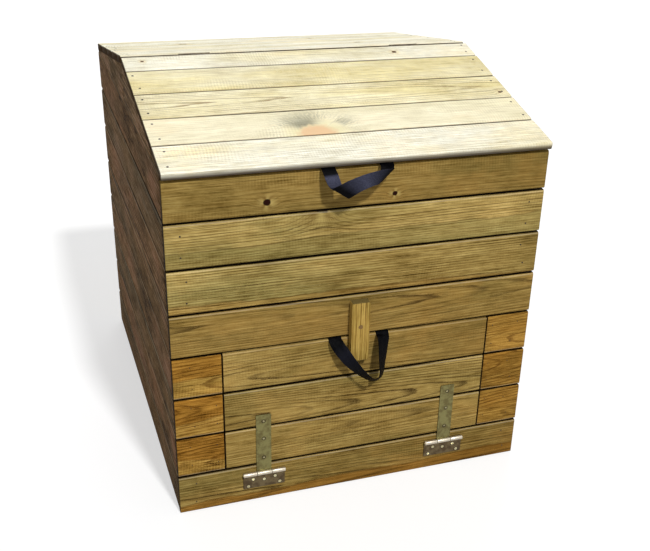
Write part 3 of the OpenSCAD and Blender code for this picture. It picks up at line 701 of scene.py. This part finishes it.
# The side boards' tone is lowered, partly as painted shade
for side, node, rows in ((left, "left_board_8", [7]), (right, "right_boards", range(8))):
    bm = bmesh.new()
    for i in rows:
        one = bmesh.new()
        addRow(one, node, i, (front if side is left else back, up, side),
               {"seed": 61.0 + i + side[0], "tone": rowTones[7 - i] * 0.86,
                "warm": (0.1, 0.0, -0.2, 0.3)[i % 4], "figure": (1.4, 0.7, 1.0)},
               (1 if i else 0, 0.5 if i == 7 else 1))
        if i == 7:
            cutUnderLid(one)
        joinMesh(bm, one)
    finishWood(node, bm, "base", "sidePine")
print("wall boards made")


# Roof boards: the box of a turned board with rounded corners gives back its length
roofLooks = {
    "lid_board_1": {"tone": (0.99, 0.94), "warm": (-0.15, 0.0), "pith": (0.08, -0.05, -0.01),
                    "knots": [(0.214, 0.0, 0.0046), (-0.37, 0.008, 0.003)]},
    "lid_board_2": {"tone": (0.97, 0.92), "warm": (-0.8, -0.6), "pith": (-0.11, -0.05, 0.01)},
    "lid_board_3": {"tone": (1.02, 1.02), "warm": (-0.9, -0.8), "pith": (0.0, -0.016, 0.03),
                    "knots": [(0.391, -0.029, 0.0035)], "figure": (1.3, 0.6, 0.6)},
    "lid_board_4": {"tone": (1.0, 0.98), "warm": (0.0, -0.2), "wood": "swirlPine",
                    "knots": [(-0.0745, -0.052, 0.036)], "pith": (0.09, -0.04, 0.0),
                    "figure": (0.5, 0.8, 1.3)},
    "lid_board_5": {"tone": (1.04, 0.95), "warm": (0.1, 0.0), "pith": (-0.1, -0.04, 0.01),
                    "figure": (0.7, 1.1, 1.2)},
    "roof_board_2": {"knots": [(0.18, 0.01, 0.006)], "warm": 0.1},
    "roof_board_4": {"knots": [(-0.22, -0.01, 0.008), (0.12, 0.015, 0.004)], "tone": 0.97},
}
# The lid's front edge gets painted shade, darker towards its lower edge
eave = {"below": 0.83, "groove": (0.9, 0.009)}
slopes = (("lid_board_", lidAngle, 1, "lid"), ("roof_board_", rearAngle, -1, "base"))


def slopeWays(angle, sign):
    # Uphill and outwards
    return (Vector((0, math.cos(angle), sign * math.sin(angle))),
            Vector((0, -sign * math.sin(angle), math.cos(angle))))


for prefix, angle, sign, body in slopes:
    uphill, normal = slopeWays(angle, sign)
    for i in range(1, 6):
        node = prefix + str(i)
        low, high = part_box(node)
        corners = 2 * boardSettings["rounding"]
        flat = high.y - low.y - corners - (boardThick - corners) * math.sin(angle)
        length = flat / math.cos(angle) + corners
        look = {"seed": 71.0 + i + (20 if body == "lid" else 0), "figure": (0.8, 0.6, 1.2),
                **roofLooks.get(node, {})}
        grooves = (eave["groove"], 1) if high.z < eave["below"] else (1, 1)
        bm = bmesh.new()
        addBoard(bm, (high.x - low.x, length, boardThick), (right, uphill, normal), middleOf(low, high),
                 look, grooves)
        finishWood(node, bm, body, look.get("wood", "roofPine"))
print("roof boards made")


# Frame timbers
timberSettings = {"seat": 0.0001, "rounding": 0.0008, "postRounding": 0.0015}
frameTimbers = ("front_post_left", "front_post_right", "rear_post_left", "rear_post_right",
                "hatch_jamb_left", "hatch_jamb_right", "hatch_batten_left", "hatch_batten_right")
for i, node in enumerate(frameTimbers):
    boardFromBox(node, (up, right, front), "hatch" if "batten" in node else "base", "framePine",
                 {"seed": 81.0 + i}, (0, 0), timberSettings["postRounding"], wave=0.0)


# Tapered rails and ridge timbers, from their outline in Y and Z
def outlineTimber(node, body, outline, along, seed, wood):
    low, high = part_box(node)
    bm = bmesh.new()
    corners = [bm.verts.new((low.x, y, z)) for y, z in outline]
    face = bm.faces.new(corners)
    swept = bmesh.ops.extrude_face_region(bm, geom=[face])
    bmesh.ops.translate(bm, vec=(high.x - low.x, 0, 0), verts=vertsOf(swept))
    bmesh.ops.recalc_face_normals(bm, faces=bm.faces)
    bevelEdges(bm, bm.edges[:], timberSettings["rounding"], 2)
    centre = middleOf(low, high)

    def placeOf(v):
        local = v.co - centre
        return Vector((local.y, local.z, local.x)) if along == "y" else Vector((local.x, local.z, local.y))

    setBoardLayers(bm, placeOf, {"seed": seed}, lambda v: (0.0, 0.0))
    finishWood(node, bm, body, wood)


def underLid(y):
    return ridge["z"] - boardThick / math.cos(lidAngle) - (ridge["y"] - y) * math.tan(lidAngle)


def underRear(y):
    return ridge["z"] - boardThick / math.cos(rearAngle) - (y - ridge["y"]) * math.tan(rearAngle)


seat = timberSettings["seat"]
for node, body, under, along, seed, wood in (
        ("lid_rail_left", "lid", underLid, "y", 91.0, "sidePine"),
        ("roof_rail_left", "base", underRear, "y", 93.0, "sidePine"),
        ("lid_rail_right", "lid", underLid, "y", 92.0, "sidePine"),
        ("roof_rail_right", "base", underRear, "y", 94.0, "sidePine"),
        ("lid_ridge_rail", "lid", underLid, "x", 95.0, "framePine"),
        ("ridge_beam", "base", underRear, "x", 96.0, "framePine")):
    low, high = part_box(node)
    outline = [(low.y, low.z), (high.y, low.z), (high.y, under(high.y) - seat), (low.y, under(low.y) - seat)]
    outlineTimber(node, body, outline, along, seed, wood)
print("frame timbers made")


# Metal

def makeMetalGroup():
    tree, start, end = newGroup("platedWear", ("Place",), ("Clean", "Stain"),
                                {"Stain Amount": 0.5, "Rough": 0.4, "Relief": 0.2}, shaderOutputs)
    cloud = addNode(tree, "ShaderNodeTexNoise", in_Vector=start["Place"], in_Scale=70.0, in_Detail=4.0,
                    in_Roughness=0.6).outputs["Fac"]
    grit = addNode(tree, "ShaderNodeTexNoise", in_Vector=start["Place"], in_Scale=900.0, in_Detail=2.0)
    mask = times(rangeOf(cloud, 0.4, 0.65), start["Stain Amount"])
    fill(end["Colour"], mixOf(mask, start["Clean"], start["Stain"]))
    fill(end["Roughness"], plus(start["Rough"], rangeOf(cloud, 0.3, 0.7, -0.08, 0.16, False)))
    fill(end["Normal"], bumpOf(start["Relief"], 0.0002, grit.outputs["Fac"]))
    return tree


platedWear = makeMetalGroup()


# Painted shade in the countersinks, and a painted highlight on the barrel in front of the plates
teeHinge = {
    "x": 0.220, "z": 0.077, "leafHoles": [(0.03648, -0.034), (0.02544, -0.0164), (0.0, -0.0205)],
    "strapHoles": [(0.0, 0.04004), (0.0, 0.09086), (0.0, 0.13706)], "plateFace": frontFace - 0.0025,
    "knuckleEnd": 0.0171,
}


def makeHingeGroup():
    tree, start, end = newGroup("teeHingePaintedLightAndSeams", ("Place",), (), {}, ("Countersink", "Barrel", "Seam"))
    parts = partsOf(start["Place"])
    aside = absolute(minus(absolute(parts[0]), teeHinge["x"]))
    rise = minus(parts[2], teeHinge["z"])
    nearest = None
    for x, z in teeHinge["leafHoles"] + teeHinge["strapHoles"]:
        far = vectorOf("LENGTH", joined(minus(aside, x), minus(rise, z), 0.0), output="Value")
        nearest = far if nearest is None else lowest(nearest, far)
    # Painted shade in the countersinks round the screw heads
    fill(end["Countersink"], fallOf(nearest, 0.0043, 0.0055))
    face = teeHinge["plateFace"]
    # The barrel in front of the plates, which gets a painted highlight
    fill(end["Barrel"], fallOf(parts[1], face - 0.0006, face - 0.0001))
    fill(end["Seam"], fallOf(absolute(minus(aside, teeHinge["knuckleEnd"])), 0.0005, 0.0011))
    return tree


teeHingePaintedLightAndSeams = makeHingeGroup()


# Clean and stained colour, how much is stained, roughness, metallic, and the colour of the barrel's painted
# highlight
metalFinishes = {
    "strapZinc": ((126, 120, 76), (84, 70, 38), 0.6, 0.4, 0.85, (190, 182, 164)),
    "leafZinc": ((104, 90, 64), (64, 48, 32), 0.7, 0.42, 0.85, (190, 180, 162)),
    "screwZinc": ((206, 198, 160), (120, 100, 62), 0.4, 0.3, 0.9, None),
    "dullScrew": ((132, 124, 88), (62, 50, 30), 0.8, 0.4, 0.9, None),
    "nailSteel": ((56, 42, 26), (28, 18, 10), 0.7, 0.7, 0.1, None),
    "darkScrew": ((122, 92, 46), (84, 58, 26), 0.6, 0.6, 0.2, None),
    "agedSteel": ((92, 82, 66), (48, 36, 26), 0.7, 0.5, 0.7, None),
}


def makeMetal(name, clean, stain, amount, rough, metallic, barrel):
    material, tree, shader = newMaterial(name)
    place = addNode(tree, "ShaderNodeTexCoord").outputs["Object"]
    wearAndHighlight = addNode(tree, "ShaderNodeGroup", node_tree=platedWear)
    for label, value in (("Place", place), ("Clean", linear(*clean)), ("Stain", linear(*stain)),
                         ("Stain Amount", amount), ("Rough", rough)):
        fill(wearAndHighlight.inputs[label], value)
    shade = wearAndHighlight.outputs["Colour"]
    if barrel:
        marks = addNode(tree, "ShaderNodeGroup", node_tree=teeHingePaintedLightAndSeams)
        fill(marks.inputs["Place"], place)
        barrelHighlightMask, seam, sunk = [marks.outputs[label] for label in ("Barrel", "Seam", "Countersink")]
        # A painted highlight on the barrel
        shade = mixOf(barrelHighlightMask, shade, linear(*barrel))
        shade = mixOf(times(times(barrelHighlightMask, seam), 0.8), shade, linear(30, 24, 16))
        # Painted shade in the countersinks
        shade = mixOf(times(sunk, 0.85), shade, linear(26, 20, 12))
    finishShader(shader, wearAndHighlight, shade)
    shader.inputs["Metallic"].default_value = metallic
    return material


metals = {name: makeMetal(name, *finish) for name, finish in metalFinishes.items()}


def addRounding(shown, width):
    rounding = shown.modifiers.new("rounding", "BEVEL")
    rounding.width = width
    rounding.segments = 2
    rounding.limit_method = "ANGLE"
    rounding.angle_limit = math.radians(50)


def finishCadNode(node, material, bevel=0.0003):
    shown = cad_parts[node]
    shown.data.materials.clear()
    shown.data.materials.append(material)
    shown.modifiers.new("weld", "WELD").merge_threshold = 0.00001
    if bevel:
        addRounding(shown, bevel)


for side in ("left", "right"):
    finishCadNode("hatch_hinge_leaf_" + side, metals["leafZinc"])
    finishCadNode("hatch_hinge_strap_" + side, metals["strapZinc"])
finishCadNode("hatch_hinge_pins", metals["screwZinc"])
for node in ("lid_hinge_fixed_leaves", "lid_hinge_moving_leaves", "lid_hinge_pins"):
    finishCadNode(node, metals["agedSteel"], 0)
for node in ("hinge_leaf_screws", "lid_screws", "hatch_screws"):
    finishCadNode(node, metals["screwZinc"], 0)
finishCadNode("turn_button_screw", metals["darkScrew"], 0)
finishCadNode("turn_button", woods["buttonPine"], 0.0026)


# Screw heads: a domed disc with a cross recess, over the frame's plain screws; the brim is a share of radius
screwSettings = {"radius": 0.0036, "dome": 0.0004, "proud": 0.0001, "cells": 12, "slot": 0.0006,
                 "slotLength": 0.0021, "slotDepth": 0.0007, "brim": 0.3}


def addScrewHead(bm, place, out, turn):
    radius = screwSettings["radius"]
    cells = screwSettings["cells"]
    part = bmesh.new()
    bmesh.ops.create_grid(part, x_segments=cells, y_segments=cells, size=1.0)

    def inSlot(face):
        near, far = sorted(abs(c) for c in face.calc_center_median()[:2])
        return near < screwSettings["slot"] / radius and far < screwSettings["slotLength"] / radius

    arms = [f for f in part.faces if inSlot(f)]
    # The square grid is pressed into a disc, then domed
    for v in part.verts:
        x, y = v.co.x, v.co.y
        v.co.x, v.co.y = x * math.sqrt(1 - y * y / 2), y * math.sqrt(1 - x * x / 2)
        v.co.z = screwSettings["dome"] / radius * (1 - v.co.x ** 2 - v.co.y ** 2)
    sunk = bmesh.ops.extrude_face_region(part, geom=arms)
    bmesh.ops.delete(part, geom=arms, context="FACES")
    bmesh.ops.translate(part, vec=(0, 0, -screwSettings["slotDepth"] / radius), verts=vertsOf(sunk))
    brim = bmesh.ops.extrude_edge_only(part, edges=[e for e in part.edges if e.is_boundary])
    bmesh.ops.translate(part, vec=(0, 0, -screwSettings["brim"]), verts=vertsOf(brim))
    bmesh.ops.scale(part, vec=(radius,) * 3, verts=part.verts)
    bmesh.ops.recalc_face_normals(part, faces=part.faces)
    seatPart(bm, part, place, out, screwSettings["proud"], turn)


screwTurn = random.Random(9)
for name, body, metal, holes in (("leaf_screw_heads", "base", "screwZinc", teeHinge["leafHoles"]),
                                 ("strap_screw_heads", "hatch", "dullScrew", teeHinge["strapHoles"])):
    bm = bmesh.new()
    for x, z in holes:
        for middle in bothSides(teeHinge["x"]):
            for sign in ((-1, 1) if x else (1,)):
                addScrewHead(bm, (middle + sign * x, teeHinge["plateFace"], teeHinge["z"] + z), front,
                             screwTurn.uniform(0, math.pi / 2))
    finishPiece(name, bm, body, metals[metal], sharp=40)
print("metal made")


# Webbing

webbingSettings = {"width": 0.029, "thick": 0.0016, "rib": 0.0016, "yarn": 0.0012, "chevron": 0.00725,
                   "lengthSteps": 160, "widthSteps": 6, "measureSteps": 2000, "selvedge": 0.0004}


def makeWeaveGroup():
    tree, start, end = newGroup("webbingWeave", ("Place",), ("Dark", "Light"),
                                {"Rib": 0.0016, "Relief": 0.6}, shaderOutputs)
    parts = partsOf(start["Place"])
    chevron = mathOf("PINGPONG")(parts[1], webbingSettings["chevron"])
    run = plus(parts[0], times(chevron, 0.55))
    wave = sine(times(over(run, start["Rib"]), fullTurn))
    warp = sine(times(parts[1], fullTurn / webbingSettings["yarn"]))
    level = rangeOf(timesPlus(warp, 0.35, wave), -1.2, 1.2, 0.0, 1.0, False)
    fuzz = addNode(tree, "ShaderNodeTexNoise", in_Vector=start["Place"], in_Scale=260.0, in_Detail=3.0)
    mask = times(level, rangeOf(fuzz.outputs["Fac"], 0.3, 0.7, 0.5, 1.0, False))
    fill(end["Colour"], mixOf(mask, start["Dark"], start["Light"]))
    fill(end["Roughness"], rangeOf(level, 0.0, 1.0, 0.55, 0.38, False))
    fill(end["Normal"], bumpOf(start["Relief"], 0.0004, level))
    return tree


webbingBlack, tree, shader = newMaterial("webbingBlack")
weave = addNode(tree, "ShaderNodeGroup", node_tree=makeWeaveGroup())
fill(weave.inputs["Place"], addNode(tree, "ShaderNodeUVMap", uv_map="alongWebbing").outputs[0])
# The webbing is painted lighter and bluer where a sheen of light falls on it
paintedSheen = addNode(tree, "ShaderNodeAttribute", attribute_name="paintedSheen").outputs["Fac"]
for label, ownColour, sheenColour in (("Dark", (0, 0, 1), (40, 41, 52)), ("Light", (7, 7, 10), (96, 98, 122))):
    fill(weave.inputs[label], mixOf(paintedSheen, linear(*ownColour), linear(*sheenColour)))
weave.inputs["Rib"].default_value = webbingSettings["rib"]
finishShader(shader, weave)
shader.inputs["Specular IOR Level"].default_value = 0.04

webbingSeat = 0.001
bendRound = 0.0061
bendMid = bendRound * math.cos(math.radians(45))
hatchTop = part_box("hatch_board_3")[1].z
frontRise = underLid(frontFace)


def underLidRoute(x):
    return [(x, y, underLid(frontFace + y) - webbingSeat - frontRise)
            for y in (0.042, 0.030, 0.0119, -0.001955)]


def hatchInside(x):
    inner, outer, bend = 0.012, 0.005, -0.005
    return [
        (x, inner + bendRound, -0.035), (x, inner + bendRound, -0.025), (x, inner + bendRound, bend),
        (x, inner + bendMid, bend + bendMid), (x, inner, bend + bendRound), (x, outer, bend + bendRound),
        (x, outer - bendMid, bend + bendMid),
    ]


# Middle of the band, and the way to one edge as a share of half its width
lidMiddles = [
    (-0.084, -0.011, -0.005), (-0.0821, -0.0195, -0.0123), (-0.0787, -0.030, -0.0265),
    (-0.0735, -0.0385, -0.0377), (-0.0705, -0.043, -0.0424), (-0.0669, -0.047, -0.0397),
    (-0.056, -0.0495, -0.0333), (-0.0417, -0.0495, -0.0268), (-0.0224, -0.047, -0.0214),
    (-0.0021, -0.0425, -0.0183), (0.016, -0.0375, -0.0175), (0.0286, -0.0332, -0.0171),
    (0.0327, -0.0295, -0.0182), (0.0337, -0.0256, -0.0153), (0.0358, -0.019, -0.0086),
    (0.0386, -0.012, -0.0052),
]
lidEdges = [
    (1, 0, 0), (0.99, 0, 0.06), (0.99, -0.07, -0.06), (1.06, -0.1, -0.41), (1.12, -0.14, -0.73),
    (1.1, -0.21, -0.71), (0.98, -0.31, -0.68), (0.72, -0.28, -0.77), (0.47, -0.21, -0.84),
    (0.1, -0.07, -0.96), (-0.36, -0.04, -1.01), (-0.87, -0.02, -0.93), (-0.96, 0.01, -0.94),
    (-0.94, 0.02, -0.77), (-0.96, 0.03, -0.36), (-1, 0, -0.03),
]
hatchMiddles = [
    (-0.059, -0.004, -0.0045), (-0.0548, -0.013, -0.0135), (-0.0436, -0.0225, -0.031),
    (-0.0343, -0.028, -0.0444), (-0.0247, -0.032, -0.0566), (-0.0122, -0.035, -0.0707),
    (0.0014, -0.037, -0.0844), (0.0146, -0.038, -0.0942), (0.0272, -0.0375, -0.0966),
    (0.0364, -0.036, -0.0918), (0.0408, -0.034, -0.0802), (0.0419, -0.031, -0.063),
    (0.0438, -0.0265, -0.0403), (0.0466, -0.019, -0.0185), (0.0486, -0.011, -0.0075),
    (0.0496, -0.004, -0.0045),
]
hatchEdges = [
    (0.97, 0.11, 0.2), (0.86, -0.03, 0.52), (0.79, -0.14, 0.59), (0.69, -0.34, 0.64), (0.58, -0.52, 0.63),
    (0.46, -0.69, 0.56), (0.35, -0.79, 0.5), (0.23, -0.83, 0.51), (-0.01, -0.72, 0.69),
    (-0.45, -0.72, 0.53), (-0.61, -0.75, 0.25), (-0.71, -0.68, 0.18), (-0.81, -0.54, 0.23),
    (-0.9, -0.33, 0.29), (-0.97, -0.02, 0.23), (-0.99, 0.07, 0.09),
]
lidRoute = underLidRoute(-0.084) + lidMiddles + underLidRoute(0.039)[::-1]
lidEdges = [(1, 0, 0)] * 4 + lidEdges + [(-1, 0, 0)] * 4
hatchRoute = hatchInside(-0.059) + hatchMiddles + hatchInside(0.050)[::-1]
hatchEdges = [(1, 0, 0)] * 7 + hatchEdges + [(-1, 0, 0)] * 7


def curvePoint(points, at):
    # A smooth curve through the points, with at from 0 to the last point's number
    i = min(int(at), len(points) - 2)
    t = at - i
    a, b, c, d = [Vector(points[max(0, min(len(points) - 1, k))]) for k in (i - 1, i, i + 1, i + 2)]
    square, cube = 2 * a - 5 * b + 4 * c - d, 3 * b - a - 3 * c + d
    return 0.5 * (2 * b + (c - a) * t + square * t * t + cube * t ** 3)


def makeWebbing(name, node, body, route, edges, top, sheenSpots):
    points = [Vector((x, frontFace + y, top + z)) for x, y, z in route]
    last = len(points) - 1
    # Even steps along the length, so that the weave keeps its size
    count = webbingSettings["measureSteps"]
    fine = [curvePoint(points, last * k / count) for k in range(count + 1)]
    runs = [0.0]
    for a, b in zip(fine, fine[1:]):
        runs.append(runs[-1] + (b - a).length)
    total = runs[-1]

    def atShare(share):
        goal = share * total
        k = next((n for n in range(1, count + 1) if runs[n] >= goal), count)
        gap = runs[k] - runs[k - 1]
        return last * (k - 1 + ((goal - runs[k - 1]) / gap if gap else 0)) / count

    bm = bmesh.new()
    bmesh.ops.create_grid(bm, x_segments=webbingSettings["lengthSteps"],
                          y_segments=webbingSettings["widthSteps"], size=0.5)
    uv = bm.loops.layers.uv.new("alongWebbing")
    paintedSheenLayer = bm.verts.layers.float.new("paintedSheen")
    for face in bm.faces:
        for loop in face.loops:
            x, y = loop.vert.co[:2]
            loop[uv].uv = ((x + 0.5) * total, (y + 0.5) * webbingSettings["width"])
    for v in bm.verts:
        at = atShare(v.co.x + 0.5)
        v.co = curvePoint(points, at) + curvePoint(edges, at) * v.co.y * webbingSettings["width"]
        # Each painted sheen spot holds where it starts, is strongest, ends and how strong it is
        for first, peak, final, level in sheenSpots:
            rise = (at - first) / (peak - first) if at < peak else (final - at) / (final - peak)
            v[paintedSheenLayer] = max(v[paintedSheenLayer], level * max(0.0, min(1.0, rise)))
    made = finishPiece(name, bm, body, webbingBlack, [node], sharp=60)
    shell = made.modifiers.new("thickness", "SOLIDIFY")
    shell.thickness = webbingSettings["thick"]
    shell.offset = 0
    addRounding(made, webbingSettings["selvedge"])
    print(name, "webbing length %.0f mm" % (total * 1000))


# Painted sheen on the lid strap's lit folds, and a little on the hatch strap
makeWebbing("lid_webbing", "lid_handle", "lid", lidRoute, lidEdges, frontRise,
            [(4.9, 5.3, 8.6, 1.0), (9.6, 12.2, 15.0, 0.8)])
makeWebbing("hatch_webbing", "hatch_handle", "hatch", hatchRoute, hatchEdges, hatchTop,
            [(8.0, 9.0, 13.0, 0.12)])


# Nails

nailSettings = {
    "radius": 0.0022, "lidRadius": 0.0029, "stubRadius": 0.0015, "proud": 0.00012, "sides": 12,
    "depth": 0.0008, "wallX": 0.377, "stubX": 0.322, "lidX": 0.396, "fromCorner": 0.036,
    "shares": (0.25, 0.75), "roofShares": (-0.55, 0.55),
}


def addNail(bm, place, out, radius=nailSettings["radius"]):
    part = bmesh.new()
    bmesh.ops.create_cone(part, cap_ends=True, segments=nailSettings["sides"], radius1=radius,
                          radius2=radius * 0.86, depth=nailSettings["depth"])
    seatPart(bm, part, place, out, nailSettings["proud"] - nailSettings["depth"] / 2)


nailDraw = random.Random(5)


def jitter(amount=0.003):
    return nailDraw.uniform(-amount, amount)


baseNails, lidNails = bmesh.new(), bmesh.new()


def addWallNail(x, y, spreadAxis, spread, row, share, out, tall=boardWide, radius=nailSettings["radius"]):
    # spreadAxis is 0 or 1, for the one of X and Y that varies
    place = [x, y, 0.0]
    place[spreadAxis] += jitter(spread)
    place[2] = row * rowPitch + tall * share + jitter()
    addNail(baseNails, place, out, radius)


hatchRows = (1, 2, 3)
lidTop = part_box("front_board_8")[1].z
for row in range(8):
    tall = lidTop - row * rowPitch if row == 7 else boardWide
    radius = nailSettings["stubRadius" if row in hatchRows else "radius"]
    for x in bothSides(nailSettings["wallX"]):
        for share in nailSettings["shares"]:
            addWallNail(x, frontFace, 0, 0.008, row, share, front, tall, radius)
            addWallNail(x, rearFace, 0, 0.008, row, share, back)
    for side in (left, right):
        for y in (frontFace + nailSettings["fromCorner"], rearFace - nailSettings["fromCorner"]):
            for share in nailSettings["shares"]:
                addWallNail(side[0] * sideFace, y, 1, 0.006, row, share, side)
    if row in hatchRows:
        for x in bothSides(nailSettings["stubX"]):
            for share in nailSettings["shares"]:
                addWallNail(x, frontFace, 0, 0.002, row, share, front, radius=radius)
for prefix, angle, sign, body in slopes:
    uphill, normal = slopeWays(angle, sign)
    for i in range(1, 6):
        low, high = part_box(prefix + str(i))
        centre = middleOf(low, high)
        half = (high.y - low.y) / math.cos(angle) / 2
        for x in bothSides(nailSettings["lidX"]):
            for share in nailSettings["roofShares"]:
                spot = centre + uphill * (half * share + jitter()) + normal * boardThick / 2
                spot.x = x + jitter(0.006)
                addNail(lidNails if body == "lid" else baseNails, spot, normal, nailSettings["lidRadius"])
finishPiece("wall_nails", baseNails, "base", metals["nailSteel"])
finishPiece("lid_nails", lidNails, "lid", metals["nailSteel"])
print("nails made")


# Floor, backdrop and light

stageSettings = {"floorSize": 60.0, "floorDrop": 0.0002, "floorPaint": 0.5, "floorGlow": 0.56,
                 "worldLevel": 0.3}

floorMesh = bpy.data.meshes.new("floor")
bm = bmesh.new()
bmesh.ops.create_grid(bm, x_segments=1, y_segments=1, size=stageSettings["floorSize"] / 2)
bm.to_mesh(floorMesh)
bm.free()
floor = addObject("floor", floorMesh)
floor.location.z = -stageSettings["floorDrop"]
floorPale, tree, shader = newMaterial("floorPale")
shader.inputs["Base Color"].default_value = (*[stageSettings["floorPaint"]] * 3, 1.0)
shader.inputs["Roughness"].default_value = 0.9
shader.inputs["Emission Color"].default_value = (1.0, 1.0, 1.0, 1.0)
rays = addNode(tree, "ShaderNodeLightPath").outputs
seen = highest(rays["Is Camera Ray"], rays["Is Glossy Ray"])
fill(shader.inputs["Emission Strength"], times(seen, stageSettings["floorGlow"]))
floorMesh.materials.append(floorPale)

world = bpy.data.worlds.new("studio")
world.use_nodes = True
scene.world = world
sky = world.node_tree.nodes["Background"]
rays = addNode(world.node_tree, "ShaderNodeLightPath").outputs
seen = highest(rays["Is Camera Ray"], highest(rays["Is Glossy Ray"], rays["Is Transmission Ray"]))
sky.inputs["Color"].default_value = (1.0, 1.0, 1.0, 1.0)
fill(sky.inputs["Strength"], rangeOf(seen, 0.0, 1.0, stageSettings["worldLevel"], 1.0, False))

lamps = {
    "keySun": {"level": 2.5, "from": (0.18, -1.0, 1.13), "soft": 5.0},
    "backFill": {"level": 1.0, "from": (0.35, 1.0, 0.4), "soft": 40.0},
}
for name, settings in lamps.items():
    data = bpy.data.lights.new(name, "SUN")
    data.energy = settings["level"]
    data.angle = math.radians(settings["soft"])
    lamp = addObject(name, data)
    lamp.rotation_mode = "QUATERNION"
    lamp.rotation_quaternion = Vector(settings["from"]).to_track_quat("Z", "Y")

scene.view_settings.view_transform = "Standard"
print("stage and light made")
